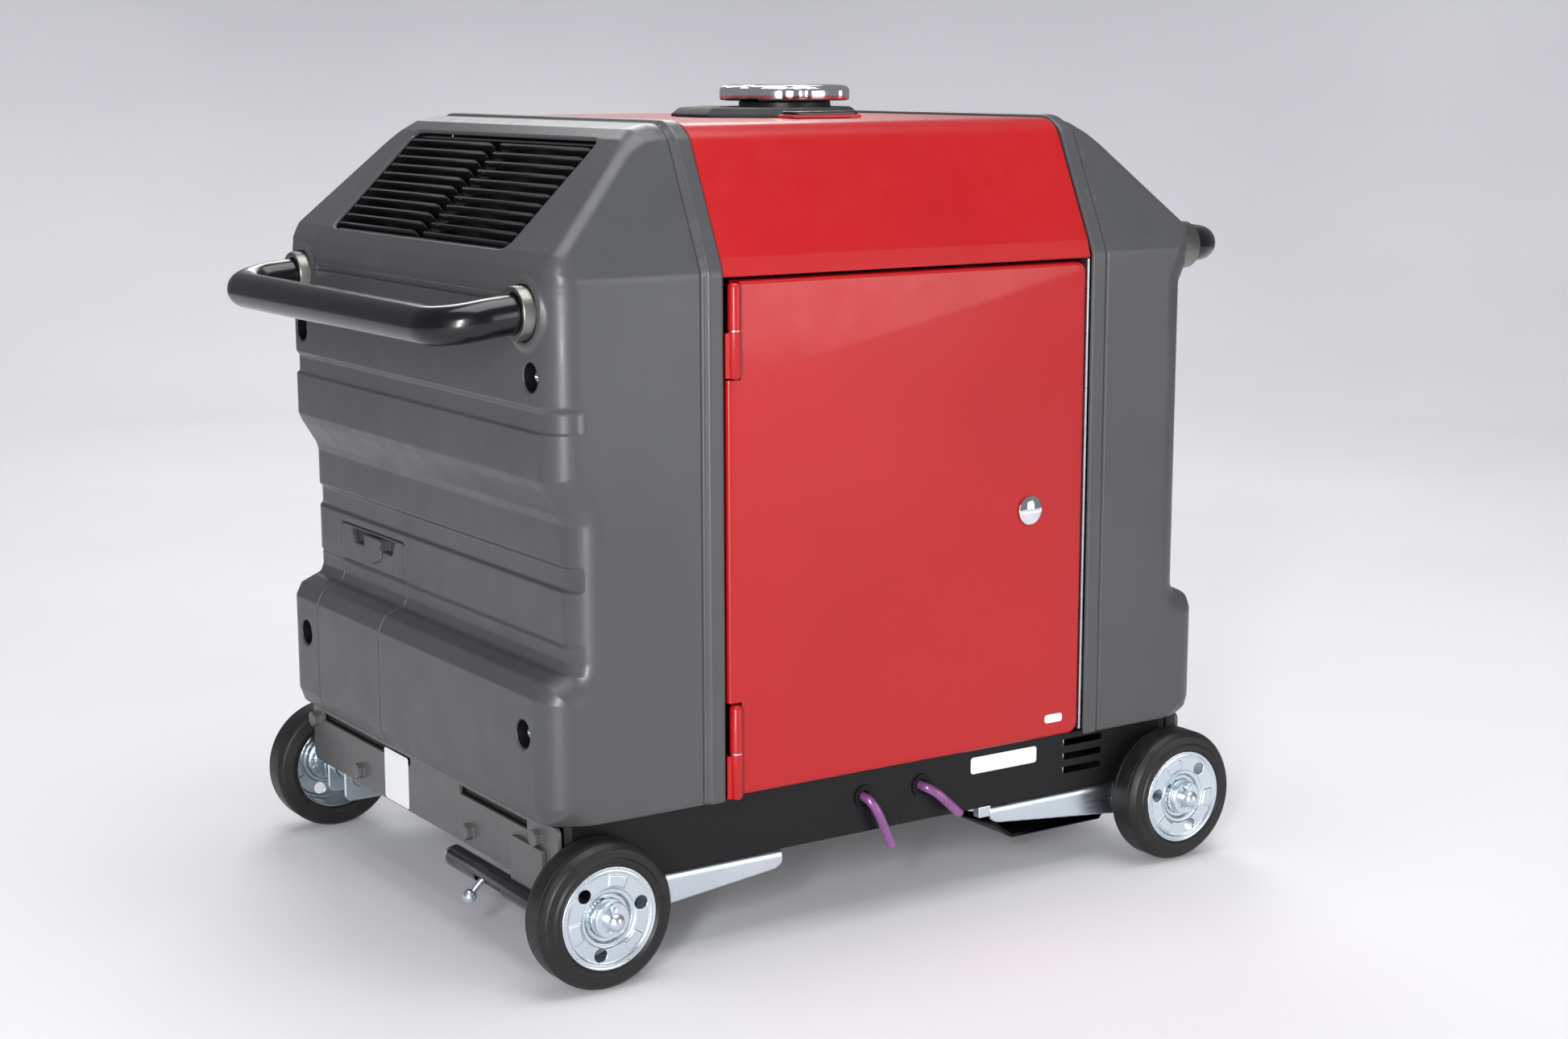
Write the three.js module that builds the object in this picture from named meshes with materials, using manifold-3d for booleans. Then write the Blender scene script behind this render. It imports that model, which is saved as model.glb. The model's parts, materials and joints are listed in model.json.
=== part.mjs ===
// Enclosed inverter generator on a four-wheel kit.
// Millimetres, +X along the length (the control panel is at +X, the air grille at -X),
// +Z up, the front door faces -Y. The origin is on the floor under the middle of the object.
import * as THREE from 'three';
import { mergeVertices } from 'three/addons/utils/BufferGeometryUtils.js';
import Module from 'manifold-3d';

const wasm = await Module();
wasm.setup();

// ---------------------------------------------------------------- driving dimensions
const GAP = 0.4; // clearance between neighbouring pieces
const NEAR_REACH = 337.5; // from the middle of the wheelbase to the outside of the near handle
const FAR_REACH = 320.5; // the two reaches add up to the length over both handles, 658
const HEIGHT = 572; // floor to the top of the fuel cap
const WIDTH = 482; // over the axle tips

const BODY_HALF_WIDTH = 211;
const BODY_TOP = 549;
const COVER_BOTTOM = 106;
const SHOULDER = 455; // height where the sides start to lean inwards
const NEAR_JOINT = -147; // seam between the near end cover and the red panels
const FAR_JOINT = 160;
const COVER_WALL = 4;
const CORNER_RADIUS = 22;

const SLOPE_TOP = [-194.4, 539];
const SLOPE_FOOT = [-263.6, 471.5];
const GRILLE_WIDTH = 276;
const SLAT_COUNT = 11;

const PAN = { halfLength: 262, halfWidth: 196, floor: 60, rim: 104, wall: 3 };

const WHEEL = { radius: 49, x: 245, pinCircle: 23 };
const AXLE_RADIUS = 6;
const BRACKET = { innerFace: 160, outerFace: 194, wall: 3 };

const HANDLE = { radius: 12.7, spread: 176, bend: 27, sleeve: 17.2 };
const NEAR_HANDLE_HEIGHT = 434;
const NEAR_BAR_DROP = 7; // the near handle's bar hangs a little lower than its ends
const STRAIGHT_END = 284; // the handle tubes are level up to here
const FAR_HANDLE_HEIGHT = 455;

const CAP = { x: 40, radius: 48, bottom: 560.5, lobes: 8 };
const NECK = { radius: 34, bore: 28.5, top: 560 };

const DOOR = { left: -143.5, right: 156, bottom: 108, top: 450, skin: 2.5, depth: 14 };
const HINGE = { x: -139, y: 212.5, knuckle: 4.4, pin: 2.2 };
const LOCK = { x: 107.5, z: 277, radius: 10.3, shaft: 4 };
const SERVICE = { right: 44, left: 154, top: 251 };
const HOSE = { radius: 3.4, z: 85.5 };
// Where each drain hose leaves the pan and how far its end lies along X and below the exit.
const HOSES = [{ x: -23.5, along: 17, drop: 36 }, { x: 26, along: 27, drop: 23 }];

// ---------------------------------------------------------------- materials
function paint(color, roughness, metalness) {
  return new THREE.MeshStandardMaterial({ color, roughness, metalness });
}

const MATERIAL = {
  grey: paint(0x5b5e62, 0.72, 0),
  red: paint(0xc0161c, 0.25, 0),
  black: paint(0x191a1c, 0.45, 0.2),
  blackPlastic: paint(0x1b1b1d, 0.6, 0),
  rubber: paint(0x202022, 0.85, 0),
  zinc: paint(0xb9c2c9, 0.35, 0.9),
  chrome: paint(0xd9dcdf, 0.1, 1),
  castAlloy: paint(0x8d9093, 0.55, 0.8),
  hose: paint(0x8d6f96, 0.4, 0),
  darkSteel: paint(0x4a463f, 0.6, 0.6),
};

// ---------------------------------------------------------------- geometry to solids
const X_EXTRUSION = new THREE.Matrix4().makeBasis(
  new THREE.Vector3(0, 1, 0),
  new THREE.Vector3(0, 0, 1),
  new THREE.Vector3(1, 0, 0),
);
const Y_EXTRUSION = new THREE.Matrix4().makeBasis(
  new THREE.Vector3(1, 0, 0),
  new THREE.Vector3(0, 0, 1),
  new THREE.Vector3(0, -1, 0),
);

function signedVolume(positions, index) {
  const [a, b, c] = [new THREE.Vector3(), new THREE.Vector3(), new THREE.Vector3()];
  let total = 0;
  for (let i = 0; i < index.length; i += 3) {
    a.fromArray(positions, 3 * index[i]);
    b.fromArray(positions, 3 * index[i + 1]);
    c.fromArray(positions, 3 * index[i + 2]);
    total += a.dot(b.cross(c)) / 6;
  }
  return total;
}

// Turns any closed three.js geometry into a solid that can be joined and cut.
function solid(geometry) {
  geometry.deleteAttribute('normal');
  geometry.deleteAttribute('uv');
  const merged = mergeVertices(geometry, 1e-4);
  const positions = merged.attributes.position.array;
  const source = merged.index.array;
  let index = [];
  for (let i = 0; i < source.length; i += 3) {
    const [a, b, c] = [source[i], source[i + 1], source[i + 2]];
    if (a !== b && b !== c && c !== a) index.push(a, b, c);
  }
  if (signedVolume(positions, index) < 0) index = index.reverse();
  return new wasm.Manifold(new wasm.Mesh({
    numProp: 3,
    vertProperties: new Float32Array(positions),
    triVerts: new Uint32Array(index),
  }));
}

function geometryOf(manifold) {
  const mesh = manifold.getMesh();
  const geometry = new THREE.BufferGeometry();
  geometry.setAttribute('position', new THREE.BufferAttribute(mesh.vertProperties, 3));
  geometry.setIndex(new THREE.BufferAttribute(mesh.triVerts, 1));
  geometry.computeVertexNormals();
  return geometry;
}

function join(first, ...rest) {
  return rest.reduce((sum, piece) => sum.add(piece), first);
}

function cut(first, ...rest) {
  return rest.reduce((left, piece) => left.subtract(piece), first);
}

function common(first, ...rest) {
  return rest.reduce((left, piece) => left.intersect(piece), first);
}

// ---------------------------------------------------------------- basic forms
function block(x0, x1, y0, y1, z0, z1, matrix) {
  const geometry = new THREE.BoxGeometry(x1 - x0, y1 - y0, z1 - z0);
  geometry.translate((x0 + x1) / 2, (y0 + y1) / 2, (z0 + z1) / 2);
  if (matrix) geometry.applyMatrix4(matrix);
  return solid(geometry);
}

// An outline pushed along an axis: points are (y, z) for 'x', (x, z) for 'y' and (x, y) for 'z'.
function prism(axis, points, low, high, matrix) {
  const shape = new THREE.Shape(points.map(([u, v]) => new THREE.Vector2(u, v)));
  const geometry = new THREE.ExtrudeGeometry(shape, { depth: high - low, bevelEnabled: false });
  if (axis === 'x') geometry.applyMatrix4(X_EXTRUSION).translate(low, 0, 0);
  if (axis === 'y') geometry.applyMatrix4(Y_EXTRUSION).translate(0, high, 0);
  if (axis === 'z') geometry.translate(0, 0, low);
  if (matrix) geometry.applyMatrix4(matrix);
  return solid(geometry);
}

// A turned form: the profile is a list of [radius, distance along the axis].
function turned(axis, centre, profile, segments = 24, phase = 0) {
  const points = profile.map(([radius, along]) => new THREE.Vector2(radius, along));
  const geometry = new THREE.LatheGeometry(points, segments, phase);
  if (axis === 'x') geometry.rotateZ(-Math.PI / 2);
  if (axis === 'z') geometry.rotateX(Math.PI / 2);
  geometry.translate(...centre);
  return solid(geometry);
}

function rod(axis, centre, radius, low, high, segments = 16) {
  return turned(axis, centre, [[0, low], [radius, low], [radius, high], [0, high]], segments);
}

function ring(axis, centre, inner, outer, low, high, segments = 24) {
  const profile = [[inner, low], [outer, low], [outer, high], [inner, high], [inner, low]];
  return turned(axis, centre, profile, segments);
}

// The span from `from` to `to` along Y, measured outwards from the middle on the given side.
function outward(side, from, to) {
  return side < 0 ? [-to, -from] : [from, to];
}

function roundedOutline(u0, u1, v0, v1, radius, steps = 4) {
  const corners = [[u1 - radius, v1 - radius], [u0 + radius, v1 - radius],
    [u0 + radius, v0 + radius], [u1 - radius, v0 + radius]];
  const points = [];
  corners.forEach(([u, v], quarter) => {
    for (let i = 0; i <= steps; i += 1) {
      const angle = (quarter + i / steps) * (Math.PI / 2);
      points.push([u + radius * Math.cos(angle), v + radius * Math.sin(angle)]);
    }
  });
  return points;
}

// Moves every edge of a counterclockwise outline inwards by the same distance.
function inset(points, distance) {
  const count = points.length;
  const edges = points.map((from, i) => {
    const to = points[(i + 1) % count];
    const length = Math.hypot(to[0] - from[0], to[1] - from[1]);
    const normal = [-(to[1] - from[1]) / length, (to[0] - from[0]) / length];
    return { normal, offset: normal[0] * from[0] + normal[1] * from[1] + distance };
  });
  return edges.map((edge, i) => {
    const last = edges[(i + count - 1) % count];
    const cross = last.normal[0] * edge.normal[1] - last.normal[1] * edge.normal[0];
    return [
      (last.offset * edge.normal[1] - edge.offset * last.normal[1]) / cross,
      (last.normal[0] * edge.offset - edge.normal[0] * last.offset) / cross,
    ];
  });
}

// A path that passes through its points with straight runs between them.
class Route extends THREE.Curve {
  constructor(points) {
    super();
    this.points = points;
  }

  getPoint(t) {
    const place = Math.min(t, 1) * (this.points.length - 1);
    const i = Math.min(Math.floor(place), this.points.length - 2);
    return this.points[i].clone().lerp(this.points[i + 1], place - i);
  }

  getSpacedPoints() {
    return this.points;
  }

  getTangentAt(u) {
    const i = Math.round(u * (this.points.length - 1));
    const last = this.points.length - 1;
    const before = this.points[Math.max(i - 1, 0)];
    const after = this.points[Math.min(i + 1, last)];
    return after.clone().sub(before).normalize();
  }
}

function pipe(points, radius, sides = 12) {
  const outline = new THREE.Shape();
  for (let i = 0; i < sides; i += 1) {
    const angle = (i / sides) * 2 * Math.PI;
    const point = [radius * Math.cos(angle), radius * Math.sin(angle)];
    if (i === 0) outline.moveTo(...point);
    else outline.lineTo(...point);
  }
  const extrudePath = new Route(points);
  return solid(new THREE.ExtrudeGeometry(outline, { steps: points.length - 1, extrudePath }));
}

function turnAbout(x, y, angle) {
  return new THREE.Matrix4().makeTranslation(x, y, 0)
    .multiply(new THREE.Matrix4().makeRotationZ(angle))
    .multiply(new THREE.Matrix4().makeTranslation(-x, -y, 0));
}

// ---------------------------------------------------------------- the body's outer form
// Both covers are drawn at the -X end; the far one is then turned about Z by half a turn.
const SECTION = [
  [-BODY_HALF_WIDTH, -60], [BODY_HALF_WIDTH, -60], [BODY_HALF_WIDTH, SHOULDER], [207, 465],
  [173, 537], [164, 545.5], [150, BODY_TOP],
  [-150, BODY_TOP], [-164, 545.5], [-173, 537], [-207, 465], [-BODY_HALF_WIDTH, SHOULDER],
];

const DEEP = 400; // runs well past the body on the far side of a cut

// Face outlines as [x, z], counterclockwise; the last points close the outline inside the body.
const NEAR_WAIST = [
  [-262, COVER_BOTTOM], [-273, 109], [-278, 118], [-278, 188], [-273, 199], [-258, 206],
  [-256, 213], [-256, 299], [-259, 307], [-268, 323], [-271, 331],
];
const NEAR_SLOPE = [[-271, 448], [-269, 462], SLOPE_FOOT, SLOPE_TOP, [-185, 545.5], [-172, BODY_TOP]];
const FAR_WALL = -254;
const FAR_WAIST = [
  [-262, COVER_BOTTOM], [-270, 109], [-274, 118], [-274, 186], [-270, 195], [FAR_WALL, 203],
];
const FAR_SLOPE = [[FAR_WALL, 432], [-260, 441], [-261, 462], [-259.6, 471.5], [-190.4, 539],
  [-182, 545.5], [-170, BODY_TOP]];

// The outline is walked downwards on the outside, so that it is counterclockwise.
function closedFace(points, top) {
  return [...points].reverse().concat([[DEEP, points[0][1]], [DEEP, top]]);
}

function bodyForm(waist, slope, wall, low) {
  const section = inset(SECTION, wall);
  const half = BODY_HALF_WIDTH - CORNER_RADIUS;
  const cornerX = slope[0][0] + CORNER_RADIUS;
  const tall = [...waist, [slope[0][0], 700]];
  const plain = [[slope[0][0] - 3, -60], [slope[0][0] - 3, 700]];
  const face = inset(closedFace([...waist, ...slope], BODY_TOP), wall);
  const corner = inset(closedFace(tall, 700), wall);
  const side = inset(closedFace(plain, 700), wall);
  const pieces = [prism('x', section, low, 0), prism('y', face, -DEEP, DEEP)];
  for (const sign of [-1, 1]) {
    for (const degrees of [22.5, 45]) {
      const turn = turnAbout(cornerX, sign * half, -sign * THREE.MathUtils.degToRad(degrees));
      pieces.push(prism('y', corner, -DEEP, DEEP, turn));
    }
    const turn = turnAbout(cornerX, sign * half, -sign * THREE.MathUtils.degToRad(70));
    pieces.push(prism('y', side, -DEEP, DEEP, turn));
  }
  return common(...pieces);
}

const SLOPE_CENTRE = [(SLOPE_TOP[0] + SLOPE_FOOT[0]) / 2, (SLOPE_TOP[1] + SLOPE_FOOT[1]) / 2];
const SLOPE_LENGTH = Math.hypot(SLOPE_TOP[0] - SLOPE_FOOT[0], SLOPE_TOP[1] - SLOPE_FOOT[1]);
const SLOPE_ANGLE = Math.atan2(SLOPE_TOP[1] - SLOPE_FOOT[1], SLOPE_TOP[0] - SLOPE_FOOT[0]);
// In this frame x runs up the slope, y across it and z out of it.
const ON_SLOPE = new THREE.Matrix4().makeTranslation(SLOPE_CENTRE[0], 0, SLOPE_CENTRE[1])
  .multiply(new THREE.Matrix4().makeRotationY(-SLOPE_ANGLE));

function coverShell(waist, slope, joint) {
  const outer = bodyForm(waist, slope, 0, -DEEP);
  const hollow = bodyForm(waist, slope, COVER_WALL, -DEEP - 10);
  const reach = block(-DEEP, joint, -DEEP, DEEP, COVER_BOTTOM, 700);
  const underside = block(-250, joint + 1, -195, 195, COVER_BOTTOM - 20, COVER_BOTTOM + 20);
  return cut(outer.intersect(reach), hollow, underside);
}

function handleBoss(shell, face, height) {
  let result = shell;
  for (const side of [-HANDLE.spread, HANDLE.spread]) {
    const centre = [0, side, height];
    result = result.add(rod('x', centre, 22, face - 4, face + COVER_WALL + 4, 20));
    result = result.subtract(rod('x', centre, 17.8, face - 20, face + 30, 20));
  }
  return result;
}

function screwRecess(shell, face, side, height) {
  const centre = [0, side, height];
  const cup = shell.add(rod('x', centre, 11, face + 1.5, face + 16, 12));
  return cup.subtract(rod('x', centre, 8, face - 10, face + 13, 12));
}

// ---------------------------------------------------------------- end covers
function serviceOpening(gap) {
  return block(-DEEP, -235, SERVICE.right + gap, SERVICE.left - gap, 0, SERVICE.top - gap);
}

function nearCover() {
  const shell = coverShell(NEAR_WAIST, NEAR_SLOPE, NEAR_JOINT - GAP / 2);
  let cover = handleBoss(shell, -271, NEAR_HANDLE_HEIGHT);
  for (const side of [-1, 1]) {
    cover = screwRecess(cover, -271, side * 182, 394);
    cover = screwRecess(cover, -278, side * 176, 164);
  }
  const slot = block(-274, -269, -150, 150, 440, 442.5);
  const grille = block(-SLOPE_LENGTH / 2, SLOPE_LENGTH / 2, -GRILLE_WIDTH / 2, GRILLE_WIDTH / 2,
    -20, 20, ON_SLOPE);
  return cut(cover, slot, grille, serviceOpening(0));
}

function serviceCover() {
  const shell = coverShell(NEAR_WAIST, NEAR_SLOPE, NEAR_JOINT);
  const skin = shell.intersect(serviceOpening(GAP));
  const top = SERVICE.top - 3;
  const pocket = block(-260, -253.5, 60, 136, top - 10, top);
  const hookOutline = [[84, top - 11], [110, top - 11], [106, top - 3], [88, top - 3]];
  const catchHook = prism('x', hookOutline, -255.5, -250);
  const pocketBack = block(-254, -249, 56, 140, top - 14, top + 2);
  return join(cut(skin.add(pocketBack), pocket), catchHook);
}

function grille() {
  const half = GRILLE_WIDTH / 2 - GAP;
  const long = SLOPE_LENGTH / 2 - GAP;
  const rim = 3;
  let insert = cut(
    block(-long, long, -half, half, -10, -2.5, ON_SLOPE),
    block(-long + rim, long - rim, -half + rim, half - rim, -12, 0, ON_SLOPE),
  );
  insert = insert.add(block(-long + 1, long - 1, -3.5, 3.5, -10, -4, ON_SLOPE));
  const pitch = (2 * long) / (SLAT_COUNT + 0.5);
  const lean = new THREE.Matrix4().makeRotationY(THREE.MathUtils.degToRad(12));
  for (let i = 0; i < SLAT_COUNT; i += 1) {
    const place = new THREE.Matrix4().makeTranslation(-long + pitch * (i + 0.75), 0, -6.5);
    const matrix = ON_SLOPE.clone().multiply(place).multiply(lean);
    insert = insert.add(block(-0.9, 0.9, -half + 1, half - 1, -4, 3.5, matrix));
  }
  return insert;
}

const PANEL = { low: 222, high: 414, halfWidth: 150, depth: 20 };

function farCover() {
  const shell = coverShell(FAR_WAIST, FAR_SLOPE, -FAR_JOINT - GAP / 2);
  const cover = handleBoss(shell, -260, FAR_HANDLE_HEIGHT);
  const { low, high, halfWidth, depth } = PANEL;
  const funnel = block(FAR_WALL + 2, FAR_WALL + depth + COVER_WALL, -halfWidth - COVER_WALL,
    halfWidth + COVER_WALL, low - COVER_WALL, high + COVER_WALL);
  const mouth = block(-DEEP, FAR_WALL + depth + 10, -halfWidth, halfWidth, low, high);
  let result = cut(cover.add(funnel), mouth);
  for (const side of [-1, 1]) {
    result = screwRecess(result, -274, side * 176, 160);
  }
  for (let i = 0; i < 4; i += 1) {
    result = result.subtract(block(-DEEP, -250, -120, 120, 124 + 16 * i, 130 + 16 * i));
  }
  return result;
}

// ---------------------------------------------------------------- red panels
function topPanel() {
  const outer = prism('x', SECTION, NEAR_JOINT + GAP / 2, FAR_JOINT - GAP / 2);
  const hollow = prism('x', inset(SECTION, 2.5), NEAR_JOINT - 1, FAR_JOINT + 1);
  const below = block(-DEEP, DEEP, -DEEP, DEEP, -70, 456);
  const neckHole = rod('z', [CAP.x, 0, 0], NECK.radius + 5, 530, 570, 32);
  return cut(outer, hollow, below, neckHole);
}

// The upper and the lower hinge: z is where the two knuckles meet, reach is the door's knuckle.
const HINGE_PAIR = [{ z: 418, reach: 31 }, { z: 138, reach: 33 }];

// A shallow steel tray on its side; `side` is -1 for the front and +1 for the rear.
function doorLeaf(side) {
  const outline = roundedOutline(DOOR.left, DOOR.right, DOOR.bottom, DOOR.top, 9, 3);
  const hollow = roundedOutline(DOOR.left + DOOR.skin, DOOR.right - DOOR.skin,
    DOOR.bottom + DOOR.skin, DOOR.top - DOOR.skin, 7, 3);
  const face = BODY_HALF_WIDTH;
  const leaf = cut(
    prism('y', outline, ...outward(side, face - DOOR.depth, face)),
    prism('y', hollow, ...outward(side, face - DOOR.depth - 1, face - DOOR.skin)),
    rod('y', [LOCK.x, 0, LOCK.z], LOCK.shaft + 0.4, ...outward(side, face - 20, face + 5)),
  );
  return HINGE_PAIR.reduce((door, { z, reach }) => {
    const centre = [HINGE.x, side * HINGE.y, 0];
    const notch = block(DOOR.left - 1, HINGE.x + HINGE.knuckle + 1, -DEEP, DEEP, z - 32, z + GAP);
    const barrel = rod('z', centre, HINGE.knuckle, z + GAP, z + reach, 12);
    const bore = rod('z', centre, HINGE.pin + 0.3, z - 5, z + reach - 3, 12);
    return cut(door, notch).add(barrel).subtract(bore);
  }, leaf);
}

function hingeLeaf(side, z) {
  const centre = [HINGE.x, side * HINGE.y, 0];
  const knuckle = rod('z', centre, HINGE.knuckle, z - 31, z, 12);
  const pin = rod('z', centre, HINGE.pin, z - 31, z + 24, 12);
  const flat = block(-146.4, -144, ...outward(side, 192.4, HINGE.y), z - 30, z - 1);
  const bridge = block(-146.4, HINGE.x, ...outward(side, HINGE.y - 1.2, HINGE.y + 1.2), z - 30, z - 1);
  return join(knuckle, pin, flat, bridge);
}

function doorLock(side) {
  const centre = [LOCK.x, 0, LOCK.z];
  const shaft = rod('y', centre, LOCK.shaft, ...outward(side, 191.3, 212));
  const head = rod('y', centre, LOCK.radius, ...outward(side, 211.4, 215.4), 24);
  const coinSlot = block(LOCK.x - 8, LOCK.x + 8, ...outward(side, 213.6, 220), LOCK.z - 1.3, LOCK.z + 1.3);
  const cam = block(LOCK.x - 5, LOCK.x + 5, ...outward(side, 191.3, 193.6), LOCK.z - 6, LOCK.z + 41);
  return join(cut(head, coinSlot), shaft, cam);
}

// ---------------------------------------------------------------- steel frame and base
function sheetHoop(x0, x1) {
  const sheet = block(x0, x1, -192, 192, 64, 452);
  const window = prism('x', roundedOutline(-165, 165, 100, 425, 20), x0 - 1, x1 + 1);
  return cut(sheet, window);
}

function frameNear() {
  return sheetHoop(-146.6, -144.2);
}

function frameFar() {
  let frame = sheetHoop(157.2, 159.4);
  for (const side of [-1, 1]) {
    const jamb = block(157.2, 159.4, ...outward(side, 190, 210), 110, 452);
    const keeper = block(147, 158, ...outward(side, 194.9, 196.4), LOCK.z - 20, LOCK.z + 20);
    frame = join(frame, jamb, keeper);
  }
  return frame;
}

function basePan() {
  const { halfLength, halfWidth, floor, rim, wall } = PAN;
  const outline = roundedOutline(-halfLength, halfLength, -halfWidth, halfWidth, 14);
  let pan = cut(prism('z', outline, floor, rim), prism('z', inset(outline, wall), floor + wall, rim + 1));
  for (let i = 0; i < 3; i += 1) {
    const low = 73 + 10.5 * i;
    pan = pan.subtract(block(155, 192, -halfWidth - 1, -halfWidth + wall + 1, low, low + 5));
  }
  for (const { x } of HOSES) {
    pan = pan.subtract(rod('y', [x, 0, HOSE.z], HOSE.radius + 1, -halfWidth - 2, -halfWidth + 6, 12));
  }
  return pan;
}

function hexHead(x0, x1, y, z) {
  return rod('x', [0, y, z], 6.2, x0, x1, 6);
}

// `end` is -1 for the plate under the near cover and +1 for the far one.
function endPlate(end) {
  const [x0, x1] = outward(end, 262.6, 265.6);
  let plate = prism('x', roundedOutline(-198, 198, 59, 104, 5), x0, x1);
  for (const [y0, y1] of [[-155, -55], [24, 180]]) {
    plate = plate.subtract(block(x0 - 1, x1 + 1, y0, y1, 93, 99));
  }
  for (const [y, z] of [[109, 70], [-71, 70], [-172, 92], [190, 92]]) {
    plate = plate.add(hexHead(...outward(end, 265, 271), y, z));
  }
  return plate;
}

// An upside-down channel under the pan that deepens from its free end to the wheel.
function wheelBracket(end, side) {
  const profile = [[90, 59.6], [90, 49], [96, 45.5], [215, 33], [225, 31], [254, 31], [258, 35],
    [258, 59.6]];
  const outline = profile.map(([x, z]) => [end * x, z]);
  const { innerFace, outerFace, wall } = BRACKET;
  const body = prism('y', outline, ...outward(side, innerFace, outerFace));
  const channel = block(...outward(end, 70, 270), ...outward(side, innerFace + wall, outerFace - wall),
    20, 59.6 - wall);
  const bore = rod('y', [end * WHEEL.x, 0, WHEEL.radius], AXLE_RADIUS + GAP,
    ...outward(side, 150, 200), 12);
  const bracket = cut(body, channel, bore);
  const tab = block(80, 91, ...outward(side, outerFace - 8, outerFace - 1), 51, 59.6);
  return end > 0 ? bracket.add(tab) : bracket;
}

// The undertray's foot: a black channel across the underside, deepest towards the far end.
function footRail() {
  const outline = [[70, 59.6], [84, 44], [118, 30], [124, 28], [141, 16], [226, 16], [234, 24],
    [234, 59.6]];
  const channel = inset(outline, 3).map(([x, z]) => [x, z > 50 ? 70 : z]);
  return cut(prism('y', outline, -156, 156), prism('y', channel, -DEEP, DEEP));
}

// ---------------------------------------------------------------- wheels
// The tread is a polygon with a flat on the floor, so its corners lie slightly outside the radius.
function tyre(end, side) {
  const segments = 24;
  const half = Math.PI / segments;
  const tread = WHEEL.radius / Math.cos(half);
  const profile = [[34.8, 200.5], [36, 199.2], [46, 199.2], [tread, 202], [tread, 224], [46.5, 228],
    [36, 228], [34.8, 227], [34.8, 200.5]];
  const centre = [end * WHEEL.x, 0, WHEEL.radius];
  return turned('y', centre, profile.map(([r, s]) => [r, side * s]), segments, half);
}

function wheelDisc(end, side) {
  const profile = [[6.3, 199], [12, 199], [12, 222], [30, 222.5], [30, 204], [34.2, 204], [34.2, 228],
    [32, 228], [29, 226], [19, 227], [12, 226], [12, 231], [6.3, 231], [6.3, 199]];
  const centre = [end * WHEEL.x, 0, WHEEL.radius];
  let disc = turned('y', centre, profile.map(([r, s]) => [r, side * s]), 24);
  for (const degrees of [0, 120, 240]) {
    const angle = THREE.MathUtils.degToRad(degrees + (end < 0 ? 15 : 50));
    const at = [
      centre[0] + WHEEL.pinCircle * Math.cos(angle), 0, centre[2] + WHEEL.pinCircle * Math.sin(angle),
    ];
    disc = disc.subtract(rod('y', at, 5.4, ...outward(side, 215, 235), 10));
  }
  return disc;
}

function axle(end, side) {
  const profile = [[0, 155], [AXLE_RADIUS, 155], [AXLE_RADIUS, 194.4], [9.5, 194.4], [9.5, 198.6],
    [AXLE_RADIUS, 198.6], [AXLE_RADIUS, 231.4], [11, 231.4], [11, 234], [AXLE_RADIUS, 234],
    [AXLE_RADIUS, 238], [2.5, WIDTH / 2], [0, WIDTH / 2]];
  const centre = [end * WHEEL.x, 0, WHEEL.radius];
  return turned('y', centre, profile.map(([r, s]) => [r, side * s]), 12);
}

// ---------------------------------------------------------------- wheel lock
const LOCK_PIN = { x: -268, z: 48, radius: 4.7, inner: -42, outer: -190, handleY: -100, travel: 30 };

function lockGuide() {
  const centre = [LOCK_PIN.x, 0, LOCK_PIN.z];
  const tube = ring('y', centre, LOCK_PIN.radius + GAP, 8, -186, -52, 16);
  const tab = block(-269.4, -266, -180, -140, 54, 84);
  const slot = block(-290, LOCK_PIN.x, LOCK_PIN.handleY - LOCK_PIN.travel - 4, LOCK_PIN.handleY + 4, 30, 48);
  return cut(tube.add(tab), slot);
}

function lockPin() {
  const { x, z, radius, inner, outer, handleY } = LOCK_PIN;
  const pin = rod('y', [x, 0, z], radius, outer, inner, 16);
  const stem = new THREE.CylinderGeometry(3, 3, 19, 10);
  stem.rotateX(Math.PI / 2).translate(0, 0, -9.5);
  const lean = new THREE.Matrix4().makeTranslation(x, handleY, z)
    .multiply(new THREE.Matrix4().makeRotationY(Math.PI / 4));
  stem.applyMatrix4(lean);
  const ball = new THREE.SphereGeometry(5, 10, 6);
  ball.translate(0, 0, -19);
  ball.applyMatrix4(lean);
  return join(pin, solid(stem), solid(ball));
}

// ---------------------------------------------------------------- carrying handles
function handlePath(end, height) {
  const tip = (end < 0 ? NEAR_REACH : FAR_REACH) - HANDLE.radius;
  const drop = end < 0 ? NEAR_BAR_DROP : 0;
  const bendStart = tip - HANDLE.bend;
  const half = [[250, HANDLE.spread], [STRAIGHT_END, HANDLE.spread]]
    .filter(([x]) => x < bendStart - 2);
  const steps = 6;
  for (let i = 0; i <= steps; i += 1) {
    const angle = (i / steps) * (Math.PI / 2);
    half.push([
      bendStart + HANDLE.bend * Math.sin(angle),
      HANDLE.spread - HANDLE.bend + HANDLE.bend * Math.cos(angle),
    ]);
  }
  const other = [...half].reverse().map(([x, y]) => [x, -y]);
  return [...half, ...other].map(([x, y]) => {
    const lowered = drop * Math.max(0, (x - STRAIGHT_END) / (tip - STRAIGHT_END));
    return new THREE.Vector3(end * x, y, height - lowered);
  });
}

function handle(end, height) {
  return pipe(handlePath(end, height), HANDLE.radius, 12);
}

function sleeve(end, side, height) {
  const centre = [0, side * HANDLE.spread, height];
  return ring('x', centre, HANDLE.radius + GAP, HANDLE.sleeve, ...outward(end, 256, 278), 20);
}

// ---------------------------------------------------------------- fuel tank and cap
function fuelTank() {
  const body = prism('x', roundedOutline(-150, 150, 462, 536, 18), -122, 132);
  const neck = rod('z', [CAP.x, 0, 0], NECK.radius, 530, NECK.top, 24);
  const well = rod('z', [CAP.x, 0, 0], NECK.bore, 500, NECK.top + 1, 24);
  return cut(body.add(neck), well);
}

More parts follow.
